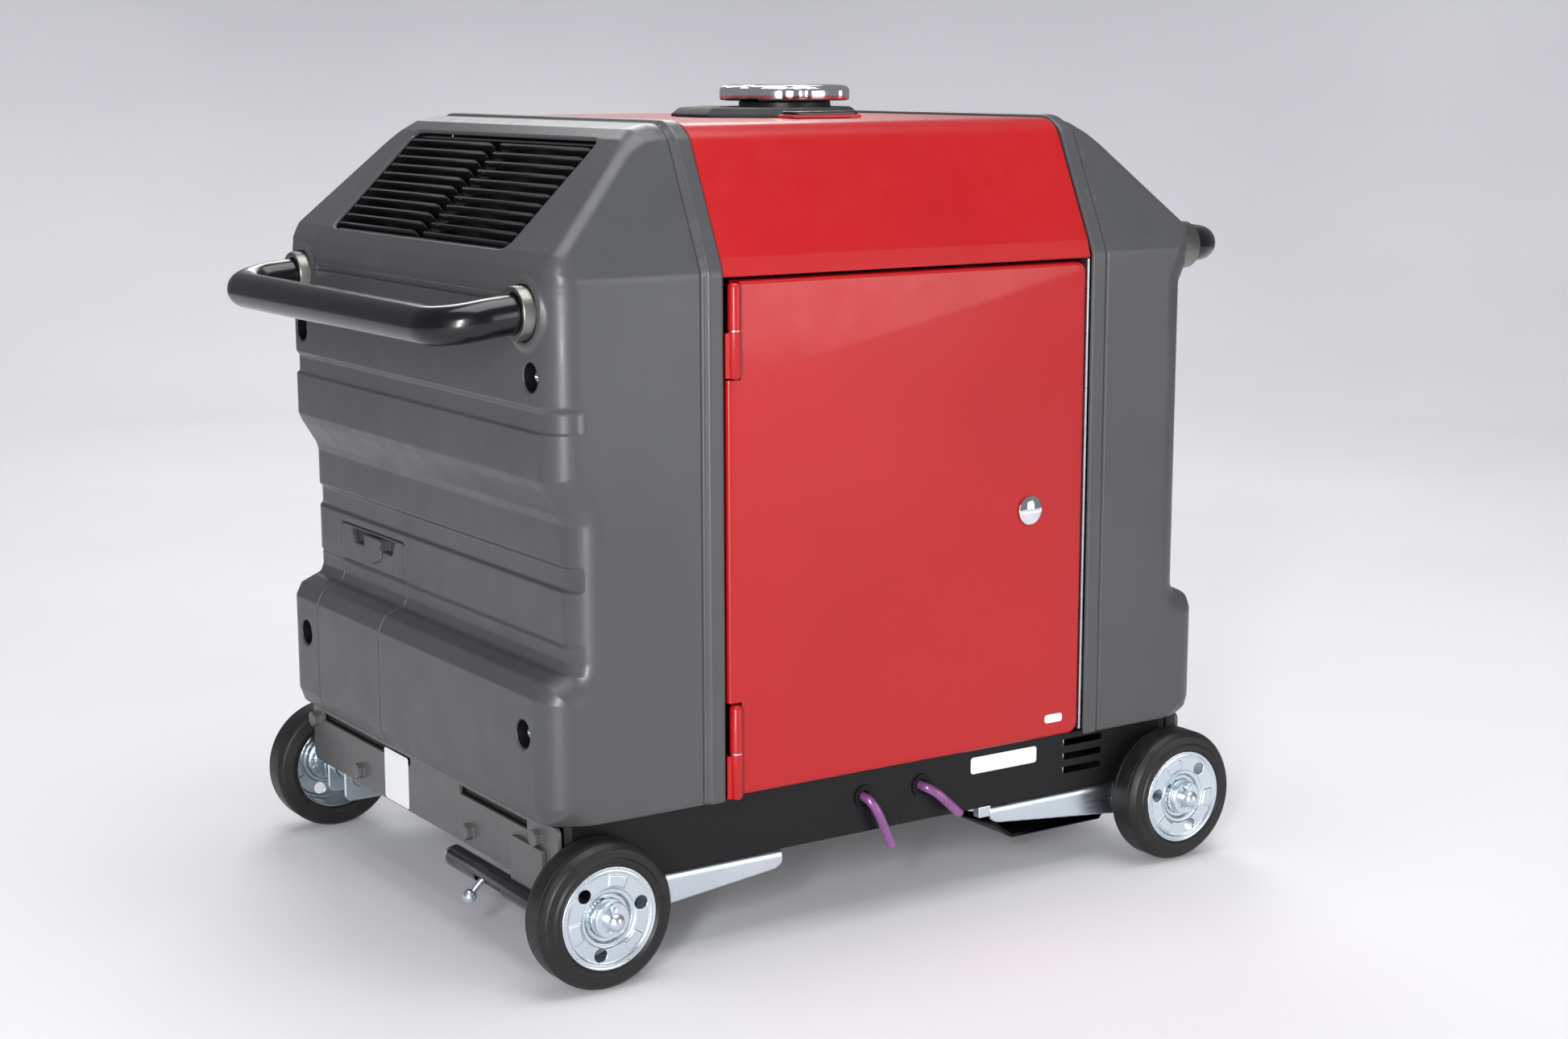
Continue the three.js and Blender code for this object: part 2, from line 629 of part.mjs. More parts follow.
function capTray() {
  const across = 62;
  const side = across * Math.tan(Math.PI / 8);
  const outline = [[across, -side], [across, side], [side, across], [-side, across], [-across, side],
    [-across, -side], [-side, -across], [side, -across]].map(([x, y]) => [x + 27, y]);
  const base = prism('z', outline, BODY_TOP + GAP, 552);
  const top = prism('z', inset(outline, 5), 551, 556);
  return cut(join(base, top), rod('z', [CAP.x, 0, 0], NECK.radius + 1, 540, 570, 24));
}

function fuelGauge() {
  const base = block(-18, 40, -101, -77, BODY_TOP + GAP, 552);
  const lens = block(-14, 36, -98, -80, 551, 554);
  return join(base, lens);
}

function capOutline() {
  const points = [];
  const count = CAP.lobes * 5;
  for (let i = 0; i < count; i += 1) {
    const angle = (i / count) * 2 * Math.PI;
    const radius = CAP.radius - 3.2 * Math.max(0, -Math.cos(CAP.lobes * angle));
    points.push([CAP.x + radius * Math.cos(angle), radius * Math.sin(angle)]);
  }
  return points;
}

function fuelCap() {
  const lobed = prism('z', capOutline(), CAP.bottom, HEIGHT);
  const dome = turned('z', [CAP.x, 0, 0],
    [[0, 550], [CAP.radius + 1, 550], [CAP.radius + 1, HEIGHT - 4], [CAP.radius - 5, HEIGHT],
      [0, HEIGHT]], 32);
  const under = rod('z', [CAP.x, 0, 0], 24, 550, CAP.bottom + 3, 24);
  return cut(lobed.intersect(dome), under);
}

function capSeal() {
  const { x, bottom } = CAP;
  return join(
    rod('z', [x, 0, 0], 27, 546, bottom - GAP, 24),
    rod('z', [x, 0, 0], 23.5, 546, bottom + 2.5, 24),
  );
}

// ---------------------------------------------------------------- machinery inside
function engineBlock() {
  const crankcase = prism('x', roundedOutline(-92, 92, 76, 214, 14), -66, 34);
  const feet = [[-60, -70], [-60, 70], [28, -70], [28, 70]]
    .map(([x, y]) => rod('z', [x, y, 0], 9, 63.4, 80, 12));
  let barrel = block(-58, 26, -52, 62, 210, 336);
  for (let i = 0; i < 8; i += 1) {
    const z = 222 + 13 * i;
    const outside = block(-70, 40, -70, 80, z, z + 6);
    const core = block(-44, 12, -38, 48, z - 1, z + 7);
    barrel = barrel.subtract(outside.subtract(core));
  }
  const headCover = prism('z', roundedOutline(-50, 18, -42, 52, 10), 335, 360);
  const oilNeck = rod('y', [-40, 0, 120], 11, -118, -88);
  return join(crankcase, barrel, headCover, oilNeck, ...feet);
}

function alternator() {
  const drum = turned('x', [0, 0, 182],
    [[0, 36], [70, 36], [100, 46], [104, 58], [104, 118], [96, 128], [60, 132], [0, 132]], 24);
  const foot = block(60, 120, -60, 60, 63.4, 100);
  return join(drum, foot);
}

function muffler() {
  const shell = prism('y', roundedOutline(-240, -152, 250, 400, 30, 5), -125, 125);
  const outlet = rod('z', [-205, 20, 0], 15, 390, 440);
  return join(shell, outlet);
}

function airCleaner() {
  const box = prism('y', roundedOutline(-122, 0, 250, 400, 12), -186, -112);
  const lid = prism('y', roundedOutline(-118, -4, 254, 396, 10), -190, -185);
  const elbow = rod('y', [-90, 0, 300], 18, -113, -72);
  return join(box, lid, elbow);
}

function battery() {
  const box = block(44, 142, -184, -116, 64, 156);
  const terminals = [60, 126].map((x) => rod('z', [x, -150, 0], 7, 155, 166, 12));
  return join(box, ...terminals);
}

function inverterUnit() {
  let unit = block(165, 250, -140, 140, 116, 204);
  for (let i = 0; i < 12; i += 1) {
    const y = -132 + 22.4 * i;
    unit = unit.subtract(block(236, 260, y, y + 12, 120, 210));
  }
  return unit;
}

// ---------------------------------------------------------------- drain hoses
function drainHose({ x, along, drop }) {
  const stops = [[0, -188, 0], [0.02, -198, 0.02], [0.2, -202, 0.14], [0.45, -204, 0.38],
    [0.72, -205, 0.68], [1, -205.5, 1]];
  const path = stops.map(([a, y, d]) => new THREE.Vector3(x + a * along, y, HOSE.z - d * drop));
  const [from, to] = path.slice(-2);
  const bore = pipe([from, to.clone().lerp(from, -0.3)], HOSE.radius - 1.2, 8);
  return cut(pipe(path, HOSE.radius, 8), bore);
}

// ---------------------------------------------------------------- control panel
const FACE = 234.4; // the panel's visible face

const KEY = { y: -108, z: 372, radius: 9 };
const ROCKER = { y: -60, z: 372, length: 24, width: 14 };
const BUTTON = { y: -16, z: 372, radius: 6 };

function controlPanel() {
  const { low, high, halfWidth } = PANEL;
  let panel = block(FACE - 3, FACE, -halfWidth + GAP, halfWidth - GAP, low + GAP, high - GAP);
  const add = (piece) => { panel = panel.add(piece); };
  const take = (piece) => { panel = panel.subtract(piece); };
  for (const y of [-104, -42]) {
    add(prism('x', roundedOutline(y - 18, y + 18, 240, 312, 6, 2), FACE - 1, FACE + 4));
    for (const z of [258, 294]) {
      add(rod('x', [0, y, z], 15, FACE, FACE + 5.5, 14));
      take(block(FACE + 1, FACE + 8, y - 6.5, y - 4.5, z - 4, z + 4));
      take(block(FACE + 1, FACE + 8, y + 4.5, y + 6.5, z - 4, z + 4));
    }
  }
  add(rod('x', [0, 34, 276], 24, FACE - 1, FACE + 5, 20));
  add(rod('x', [0, 34, 276], 18, FACE, FACE + 8, 16));
  for (const z of [256, 296]) add(rod('x', [0, 92, z], 9, FACE - 1, FACE + 10, 10));
  add(rod('x', [0, 126, 244], 7, FACE - 1, FACE + 12, 12));
  for (const y of [44, 74, 104]) add(rod('x', [0, y, 372], 6, FACE - 1, FACE + 2, 10));
  take(rod('x', [0, KEY.y, KEY.z], KEY.radius + GAP, FACE - 5, FACE + 5, 20));
  take(rod('x', [0, BUTTON.y, BUTTON.z], BUTTON.radius + GAP, FACE - 5, FACE + 5, 16));
  const { y, z, length, width } = ROCKER;
  take(block(FACE - 5, FACE + 5, y - width / 2 - GAP, y + width / 2 + GAP,
    z - length / 2 - 1, z + length / 2 + 1));
  return panel;
}

function engineKey() {
  const barrel = rod('x', [0, KEY.y, KEY.z], KEY.radius, FACE - 10, FACE + 3, 20);
  const blade = prism('x', roundedOutline(KEY.y - 2, KEY.y + 2, KEY.z - 13, KEY.z + 13, 1.5, 2),
    FACE + 2, FACE + 16);
  return join(barrel, blade);
}

function ecoSwitch() {
  const { y, z, length, width } = ROCKER;
  const h = length / 2;
  const outline = [[FACE - 8, z - h + 4], [FACE + 1, z - h], [FACE + 3.5, z - h + 1], [FACE + 1.5, z],
    [FACE + 3.5, z + h - 1], [FACE + 1, z + h], [FACE - 8, z + h - 4]];
  return prism('y', outline, y - width / 2, y + width / 2);
}

function breakerButton() {
  return rod('x', [0, BUTTON.y, BUTTON.z], BUTTON.radius, FACE - 8, FACE + 6, 16);
}

// ---------------------------------------------------------------- assembly of the group
const group = new THREE.Group();

function place(name, piece, material, turn = 0) {
  const mesh = new THREE.Mesh(geometryOf(piece), material);
  mesh.name = name;
  mesh.rotation.z = turn;
  group.add(mesh);
}

const ENDS = [[-1, 'near'], [1, 'far']];
const SIDES = [[-1, 'front'], [1, 'rear']];

place('base_pan', basePan(), MATERIAL.black);
place('foot_rail', footRail(), MATERIAL.black);
place('frame_near', frameNear(), MATERIAL.black);
place('frame_far', frameFar(), MATERIAL.zinc);
place('cover_near', nearCover(), MATERIAL.grey);
place('grille_near', grille(), MATERIAL.blackPlastic);
place('service_cover', serviceCover(), MATERIAL.grey);
place('cover_far', farCover(), MATERIAL.grey, Math.PI);
place('top_panel', topPanel(), MATERIAL.red);
for (const [side, label] of SIDES) {
  place(`door_${label}`, doorLeaf(side), MATERIAL.red);
  place(`door_lock_${label}`, doorLock(side), MATERIAL.chrome);
  HINGE_PAIR.forEach(({ z }, i) => {
    place(`hinge_${label}_${i === 0 ? 'upper' : 'lower'}`, hingeLeaf(side, z), MATERIAL.red);
  });
}
for (const [end, endLabel] of ENDS) {
  const height = end < 0 ? NEAR_HANDLE_HEIGHT : FAR_HANDLE_HEIGHT;
  place(`end_plate_${endLabel}`, endPlate(end), MATERIAL.black);
  place(`handle_${endLabel}`, handle(end, height), MATERIAL.black);
  for (const [side, sideLabel] of SIDES) {
    const label = `${endLabel}_${sideLabel}`;
    place(`handle_sleeve_${label}`, sleeve(end, side, height), MATERIAL.darkSteel);
    place(`wheel_bracket_${label}`, wheelBracket(end, side), MATERIAL.zinc);
    place(`axle_${label}`, axle(end, side), MATERIAL.zinc);
    place(`wheel_disc_${label}`, wheelDisc(end, side), MATERIAL.zinc);
    place(`tyre_${label}`, tyre(end, side), MATERIAL.rubber);
  }
}
place('lock_guide', lockGuide(), MATERIAL.black);
place('lock_pin', lockPin(), MATERIAL.zinc);
place('drain_hose_left', drainHose(HOSES[0]), MATERIAL.hose);
place('drain_hose_right', drainHose(HOSES[1]), MATERIAL.hose);
place('fuel_tank', fuelTank(), MATERIAL.blackPlastic);
place('cap_tray', capTray(), MATERIAL.rubber);
place('fuel_gauge', fuelGauge(), MATERIAL.blackPlastic);
place('fuel_cap_seal', capSeal(), MATERIAL.rubber);
place('fuel_cap', fuelCap(), MATERIAL.chrome);
place('engine_block', engineBlock(), MATERIAL.castAlloy);
place('alternator', alternator(), MATERIAL.castAlloy);
place('muffler', muffler(), MATERIAL.darkSteel);
place('air_cleaner', airCleaner(), MATERIAL.blackPlastic);
place('battery', battery(), MATERIAL.blackPlastic);
place('inverter_unit', inverterUnit(), MATERIAL.castAlloy);
place('control_panel', controlPanel(), MATERIAL.blackPlastic);
place('engine_key', engineKey(), MATERIAL.zinc);
place('eco_switch', ecoSwitch(), MATERIAL.blackPlastic);
place('breaker_button', breakerButton(), MATERIAL.blackPlastic);

export default group;
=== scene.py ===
import json
import math

import bmesh
import bpy
import numpy as np
import openvdb
from mathutils import Matrix, Vector


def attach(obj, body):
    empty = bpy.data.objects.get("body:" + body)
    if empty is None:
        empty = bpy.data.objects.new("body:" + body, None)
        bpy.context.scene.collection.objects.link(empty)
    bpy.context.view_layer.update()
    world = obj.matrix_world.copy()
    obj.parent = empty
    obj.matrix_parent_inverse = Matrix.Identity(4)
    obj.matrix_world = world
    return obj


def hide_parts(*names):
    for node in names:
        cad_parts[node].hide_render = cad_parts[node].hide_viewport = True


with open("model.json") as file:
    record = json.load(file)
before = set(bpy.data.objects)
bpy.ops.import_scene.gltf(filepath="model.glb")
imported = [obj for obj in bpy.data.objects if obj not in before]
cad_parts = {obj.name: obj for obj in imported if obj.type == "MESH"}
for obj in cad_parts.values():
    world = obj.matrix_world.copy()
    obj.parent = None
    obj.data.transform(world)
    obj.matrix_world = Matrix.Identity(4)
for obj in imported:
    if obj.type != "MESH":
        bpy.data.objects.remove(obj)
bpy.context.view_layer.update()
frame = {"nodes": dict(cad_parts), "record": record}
BODY_OF = {node: body
           for body, nodes in frame["record"]["behaviour"]["bodies"].items()
           for node in nodes}
METRES = 0.001  # sizes below are in millimetres


# ---------------------------------------------------------------- camera
def place_camera():
    data = bpy.data.cameras.new("camera")
    data.sensor_width = 36.0
    data.lens = 57.12
    camera = bpy.data.objects.new("camera", data)
    bpy.context.collection.objects.link(camera)
    azimuth, elevation, roll = (math.radians(a) for a in (-33.412, 10.298, -0.062))
    right = Vector((math.cos(azimuth), math.sin(azimuth), 0.0))
    back = Vector((math.sin(azimuth) * math.cos(elevation),
                   -math.cos(azimuth) * math.cos(elevation), math.sin(elevation)))
    aim = Matrix((right, back.cross(right), back)).transposed() @ Matrix.Rotation(roll, 3, "Z")
    camera.matrix_world = Matrix.Translation((-0.98868, -1.55807, 0.58444)) @ aim.to_4x4()
    bpy.context.scene.camera = camera


place_camera()

# ---------------------------------------------------------------- sizes shared with the frame
BODY_HALF_WIDTH = 211
BODY_TOP = 549
SHOULDER = 455
COVER_BOTTOM = 106
NEAR_JOINT, FAR_JOINT = -147, 160
WALL = 4
SLOPE_TOP, SLOPE_FOOT = (-194.4, 539), (-263.6, 471.5)
GRILLE_HALF_WIDTH = 138
HANDLE_RADIUS, HANDLE_SPREAD, HANDLE_BEND = 12.7, 176, 27
HANDLES = {"near": {"end": -1, "reach": 337.3, "height": 434, "drop": 7, "seat": 271},
           "far": {"end": 1, "reach": 320.5, "height": 455, "drop": 0, "seat": 260}}
WHEEL_X, WHEEL_RADIUS = 245, 49
CAP_X, CAP_RADIUS, CAP_BOTTOM, CAP_TOP = 40, 48, 560.5, 572
DOOR = {"left": -143.5, "right": 156, "bottom": 108, "top": 450}
HINGE_X, HINGE_Y, KNUCKLE = -139, 212.5, 4.4
HINGES = ((418, 31), (138, 33))
LOCK_X, LOCK_Z = 107.5, 277
SERVICE_RIGHT, SERVICE_LEFT, SERVICE_TOP = 44, 154, 251
PANEL_FACE = 234.4
HOSES = (("drain_hose_left", -23.5, 17, 36), ("drain_hose_right", 26, 27, 23))
SIDES = ((-1, "front"), (1, "rear"))


# ---------------------------------------------------------------- materials
def new_material(name, **sockets):
    material = bpy.data.materials.new(name)
    material.use_nodes = True
    shader = material.node_tree.nodes["Principled BSDF"]
    for socket, value in sockets.items():
        target = shader.inputs[socket.replace("_", " ")]
        if isinstance(value, tuple):
            value = (*value, 1.0)
        target.default_value = value
    return material


class Recipe:
    """Adds procedural detail to one material, measured in the object's own metres."""

    def __init__(self, material):
        self.tree = material.node_tree
        self.shader = self.tree.nodes["Principled BSDF"]
        self.place = self.add("ShaderNodeTexCoord").outputs["Object"]

    def add(self, kind, **settings):
        node = self.tree.nodes.new(kind)
        for key, value in settings.items():
            setattr(node, key, value)
        return node

    def link(self, source, target):
        self.tree.links.new(source, target)

    def noise(self, scale, detail=2.0, stretch=None, roughness=0.5):
        node = self.add("ShaderNodeTexNoise")
        node.inputs["Scale"].default_value = scale
        node.inputs["Detail"].default_value = detail
        node.inputs["Roughness"].default_value = roughness
        if stretch is None:
            self.link(self.place, node.inputs["Vector"])
        else:
            mapping = self.add("ShaderNodeMapping")
            mapping.inputs["Scale"].default_value = stretch
            self.link(self.place, mapping.inputs["Vector"])
            self.link(mapping.outputs["Vector"], node.inputs["Vector"])
        return node.outputs["Fac"]

    def ranged(self, value, low, high, start=0.3, end=0.7):
        node = self.add("ShaderNodeMapRange")
        for socket, number in zip(("From Min", "From Max", "To Min", "To Max"),
                                  (start, end, low, high)):
            node.inputs[socket].default_value = number
        self.link(value, node.inputs["Value"])
        return node.outputs["Result"]

    def mixed(self, value, colour_a, colour_b):
        node = self.add("ShaderNodeMix", data_type="RGBA")
        self.link(value, node.inputs["Factor"])
        for socket, colour in ((node.inputs[6], colour_a), (node.inputs[7], colour_b)):
            if isinstance(colour, tuple):
                socket.default_value = (*colour, 1.0)
            else:
                self.link(colour, socket)
        return node.outputs[2]

    def colour(self, source):
        self.link(source, self.shader.inputs["Base Color"])

    def roughness(self, source):
        self.link(source, self.shader.inputs["Roughness"])

    def bump(self, height, distance, strength=1.0, into="Normal"):
        node = self.add("ShaderNodeBump")
        node.inputs["Distance"].default_value = distance
        node.inputs["Strength"].default_value = strength
        self.link(height, node.inputs["Height"])
        self.link(node.outputs["Normal"], self.shader.inputs[into])


def moulded_plastic(name, colour, roughness, grain=1500, depth=0.00004, sheen=0.08):
    """Textured plastic: a fine spark grain, with slight flow marks in tone and gloss."""
    material = new_material(name, Specular_IOR_Level=0.45)
    recipe = Recipe(material)
    tone = recipe.noise(9, 3)
    darker = tuple(c * (1 - sheen) for c in colour)
    lighter = tuple(c * (1 + sheen) for c in colour)
    recipe.colour(recipe.mixed(recipe.ranged(tone, 0, 1), darker, lighter))
    gloss = recipe.noise(45, 4)
    recipe.roughness(recipe.ranged(gloss, roughness - 0.05, roughness + 0.05))
    recipe.bump(recipe.noise(grain, 2), depth, 0.6)
    return material


def enamel(name, colour, roughness, peel=260, coat=0.6, shine=0.5):
    """Sprayed paint with orange peel and a faint drift in tone; coat and shine set its gloss."""
    material = new_material(name, Coat_Weight=coat, Coat_Roughness=0.12, Specular_IOR_Level=shine)
    recipe = Recipe(material)
    tone = recipe.noise(5, 2)
    recipe.colour(recipe.mixed(recipe.ranged(tone, 0, 1), tuple(c * 0.93 for c in colour),
                               tuple(c * 1.05 for c in colour)))
    recipe.roughness(recipe.ranged(recipe.noise(60, 4), roughness - 0.04, roughness + 0.05))
    peeled = recipe.noise(peel, 2)
    recipe.bump(peeled, 0.000012, 0.5)
    recipe.bump(peeled, 0.000008, 0.3, into="Coat Normal")
    return material


def plated_steel(name, colour, tint, roughness, streaks=(40, 40, 900)):
    """Plated or bare steel: metallic, with drawn streaks and patches of a second tone."""
    material = new_material(name, Metallic=1.0)
    recipe = Recipe(material)
    patches = recipe.ranged(recipe.noise(22, 3), 0, 0.8, 0.3, 0.75)
    recipe.colour(recipe.mixed(patches, colour, tint))
    drawn = recipe.noise(1, 3, stretch=streaks)
    recipe.roughness(recipe.ranged(drawn, roughness - 0.04, roughness + 0.06))
    recipe.bump(drawn, 0.00001, 0.3)
    return material


def rubber(name, colour, roughness):
    material = new_material(name, Specular_IOR_Level=0.35)
    recipe = Recipe(material)
    dust = recipe.ranged(recipe.noise(60, 5), 0, 1, 0.45, 0.75)
    recipe.colour(recipe.mixed(dust, colour, tuple(c * 1.7 for c in colour)))
    recipe.roughness(recipe.ranged(recipe.noise(120, 3), roughness - 0.06, roughness + 0.08))
    recipe.bump(recipe.noise(900, 3), 0.00006, 0.5)
    return material


def cast_metal(name, colour, roughness):
    material = new_material(name, Metallic=0.85)
    recipe = Recipe(material)
    recipe.colour(recipe.mixed(recipe.ranged(recipe.noise(25, 4), 0, 1), colour,
                               tuple(c * 0.75 for c in colour)))
    recipe.roughness(recipe.ranged(recipe.noise(90, 4), roughness - 0.08, roughness + 0.1))
    recipe.bump(recipe.noise(700, 4), 0.0003, 0.6)
    return material


def hose_wall(name, colour):
    material = new_material(name, Coat_Weight=0.6, Coat_Roughness=0.1, Subsurface_Weight=0.15,
                            Subsurface_Scale=0.002)
    recipe = Recipe(material)
    recipe.colour(recipe.mixed(recipe.ranged(recipe.noise(160, 3), 0, 1), colour,
                               tuple(c * 0.7 for c in colour)))
    recipe.roughness(recipe.ranged(recipe.noise(200, 2), 0.2, 0.34))
    recipe.bump(recipe.noise(500, 2), 0.00005, 0.4)
    return material


def foam_sheet(name, colour):
    material = new_material(name, Specular_IOR_Level=0.1)
    recipe = Recipe(material)
    cells = recipe.add("ShaderNodeTexVoronoi")
    cells.inputs["Scale"].default_value = 450
    recipe.link(recipe.place, cells.inputs["Vector"])
    recipe.colour(recipe.mixed(recipe.ranged(cells.outputs["Distance"], 0, 1, 0.1, 0.6),
                               tuple(c * 0.4 for c in colour), colour))
    recipe.roughness(recipe.ranged(recipe.noise(80, 2), 0.88, 0.98))
    recipe.bump(cells.outputs["Distance"], 0.0008, 0.8)
    return material


GREY = moulded_plastic("grey_shell", (0.059, 0.060, 0.063), 0.36)
GREY_PAINT = enamel("grey_paint", (0.088, 0.087, 0.089), 0.4, coat=0.1)
RED = enamel("red_paint", (0.37, 0.0045, 0.0065), 0.34, peel=130, coat=0.12, shine=0.4)
BLACK_STEEL = enamel("black_steel", (0.005, 0.005, 0.0055), 0.42, coat=0.03, shine=0.25)
BLACK_PLASTIC = moulded_plastic("black_plastic", (0.012, 0.012, 0.013), 0.42, grain=1200)
GRILLE_BLACK = enamel("grille_gloss", (0.006, 0.006, 0.007), 0.22, peel=40, coat=0.8, shine=0.6)
GLOSS_BLACK = enamel("handle_gloss", (0.003, 0.003, 0.0045), 0.22, peel=40, coat=0.2, shine=0.4)
RUBBER = rubber("black_rubber", (0.016, 0.016, 0.017), 0.6)
TYRE = rubber("tyre_rubber", (0.009, 0.0088, 0.0088), 0.42)
ZINC = plated_steel("zinc_plate", (0.70, 0.76, 0.80), (0.60, 0.68, 0.75), 0.3, streaks=(60, 60, 500))
CHROME = plated_steel("chrome", (0.86, 0.87, 0.89), (0.80, 0.81, 0.84), 0.09, streaks=(60, 60, 60))
CAST = cast_metal("cast_alloy", (0.45, 0.46, 0.47), 0.48)
DULL_STEEL = plated_steel("dark_steel", (0.26, 0.255, 0.24), (0.19, 0.187, 0.175), 0.38)
HOSE_PLASTIC = hose_wall("hose_plastic", (0.21, 0.065, 0.22))
PAPER = moulded_plastic("label_vinyl", (0.74, 0.75, 0.76), 0.35, grain=900, depth=0.00003, sheen=0.03)
FOAM = foam_sheet("foam", (0.055, 0.055, 0.06))
RED_PLASTIC = moulded_plastic("red_plastic", (0.5, 0.012, 0.015), 0.35, grain=700, depth=0.00004)
LAMP_GREEN = moulded_plastic("lamp_green", (0.03, 0.30, 0.08), 0.2, grain=500, depth=0.00003)
LAMP_AMBER = moulded_plastic("lamp_amber", (0.50, 0.20, 0.02), 0.2, grain=500, depth=0.00003)
PANEL_GREY = moulded_plastic("panel_print", (0.30, 0.31, 0.32), 0.45, grain=900, depth=0.00004)


# ---------------------------------------------------------------- pieces
def piece(name, mesh, material, body="body", stands_for=()):
    """Puts a mesh in the scene as a piece that rides a body and may stand for CAD nodes."""
    mesh.materials.append(material)
    thing = bpy.data.objects.new(name, mesh)
    bpy.context.collection.objects.link(thing)
    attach(thing, body)
    if stands_for:
        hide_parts(*stands_for)
    return thing


def shade(mesh, degrees=35):
    mesh.shade_smooth()
    mesh.set_sharp_from_angle(angle=math.radians(degrees))
    return mesh


def mesh_of(name, points, faces):
    mesh = bpy.data.meshes.new(name)
    mesh.from_pydata([tuple(float(c) * METRES for c in p) for p in points], [],
                     [tuple(int(i) for i in f) for f in faces])
    return mesh


def outwards(mesh):
    """Turns every face of a closed mesh outwards."""
    work = bmesh.new()
    work.from_mesh(mesh)
    bmesh.ops.recalc_face_normals(work, faces=work.faces)
    work.to_mesh(mesh)
    work.free()
    return mesh


def joined(name, meshes):
    work = bmesh.new()
    for mesh in meshes:
        work.from_mesh(mesh)
    result = bpy.data.meshes.new(name)
    work.to_mesh(result)
    work.free()
    return result


def softened(thing, width, segments=3, degrees=30):
    """Rounds a piece's edges by a width in millimetres, without touching its mesh."""
    bevel = thing.modifiers.new("round", "BEVEL")
    bevel.width = width * METRES
    bevel.segments = segments
    bevel.limit_method = "ANGLE"
    bevel.angle_limit = math.radians(degrees)
    bevel.harden_normals = False
    return thing


def dress(node, material, width=0.5):
    """Keeps a CAD node's shape: merges its flat triangles, rounds its edges, paints it."""
    thing = frame["nodes"][node]
    thing.data.materials.clear()
    thing.data.materials.append(material)
    weld = thing.modifiers.new("weld", "WELD")
    weld.merge_threshold = 0.00001
    flat = thing.modifiers.new("flat", "DECIMATE")
    flat.decimate_type = "DISSOLVE"
    flat.angle_limit = math.radians(1)
    softened(thing, width, 2)
    return thing


def fillet(points, radius, steps=5, closed=True):
    """Rounds the corners of a 2D outline; radius is a number or one number for each point."""
    count = len(points)
    result = []
    for i, corner in enumerate(points):
        wanted = radius[i] if hasattr(radius, "__len__") else radius
        if wanted <= 0 or (not closed and i in (0, count - 1)):
            result.append(tuple(corner))
            continue
        here = Vector(corner)
        before = Vector(points[i - 1]) - here
        after = Vector(points[(i + 1) % count]) - here
        angle = before.angle(after)
        if angle > math.radians(178):
            result.append(tuple(corner))
            continue
        reach = min(wanted / math.tan(angle / 2), 0.49 * before.length, 0.49 * after.length)
        start, end = here + before.normalized() * reach, here + after.normalized() * reach
        for k in range(steps + 1):
            t = k / steps
            point = start * (1 - t) ** 2 + here * 2 * t * (1 - t) + end * t ** 2
            result.append(tuple(point))
    return result


def rectangle(u0, u1, v0, v1):
    return [(u0, v0), (u1, v0), (u1, v1), (u0, v1)]


PLANES = {"x": (1, 2, 0), "y": (0, 2, 1), "z": (0, 1, 2)}


def prism(name, outline, axis, low, high):
    """A 2D outline extruded along an axis from low to high."""
    first, second, along = PLANES[axis]
    points = []
    for level in (low, high):
        for u, v in outline:
            point = [0, 0, 0]
            point[first], point[second], point[along] = u, v, level
            points.append(point)
    count = len(outline)
    faces = [range(count), range(2 * count - 1, count - 1, -1)]
    faces += [(i, (i + 1) % count, count + (i + 1) % count, count + i) for i in range(count)]
    return outwards(mesh_of(name, points, faces))


def turned(name, profile, axis, centre, segments=64):
    """A profile of (radius, height) turned about an axis through centre."""
    first, second, along = PLANES[axis]
    rings, points = [], []
    for radius, height in profile:
        ring = []
        for k in range(segments if radius > 0 else 1):
            angle = 2 * math.pi * k / segments
            point = list(centre)
            point[first] += radius * math.cos(angle)
            point[second] += radius * math.sin(angle)
            point[along] += height
            ring.append(len(points))
            points.append(point)
        rings.append(ring)
    faces = []
    for a, b in zip(rings, rings[1:]):
        for k in range(segments):
            corners = [a[k % len(a)], a[(k + 1) % len(a)], b[(k + 1) % len(b)], b[k % len(b)]]
            faces.append(tuple(dict.fromkeys(corners)))
    for ring in (rings[0], rings[-1]):
        if len(ring) > 1 and profile[0] != profile[-1]:
            faces.append(tuple(ring))
    mesh = mesh_of(name, points, faces)
    work = bmesh.new()
    work.from_mesh(mesh)
    bmesh.ops.remove_doubles(work, verts=work.verts, dist=1e-7)
    bmesh.ops.recalc_face_normals(work, faces=work.faces)
    work.to_mesh(mesh)
    work.free()
    return shade(mesh)


def tube(name, path, radius, sides=32):
    """A round bar along a path of points, closed at both ends."""
    path = [Vector(p) for p in path]
    points = []
    across = None
    for i, place in enumerate(path):
        ahead = (path[min(i + 1, len(path) - 1)] - path[max(i - 1, 0)]).normalized()
        if across is None:
            across = ahead.orthogonal().normalized()
        across = (across - ahead * across.dot(ahead)).normalized()
        other = ahead.cross(across)
        for k in range(sides):
            angle = 2 * math.pi * k / sides
            points.append(place + (across * math.cos(angle) + other * math.sin(angle)) * radius)
    faces = [range(sides), range(len(points) - sides, len(points))]
    for i in range(len(path) - 1):
        for k in range(sides):
            a, b = i * sides + k, i * sides + (k + 1) % sides
            faces.append((a, b, b + sides, a + sides))
    return shade(outwards(mesh_of(name, points, faces)), 50)


def loft(name, loops):
    """Joins loops of points of equal count, closing the first and the last with a face."""
    count = len(loops[0])
    points = [p for loop in loops for p in loop]
    faces = [range(count), range(len(points) - count, len(points))]
    for i in range(len(loops) - 1):
        for k in range(count):
            a, b = i * count + k, i * count + (k + 1) % count
            faces.append((a, b, b + count, a + count))
    return outwards(mesh_of(name, points, faces))


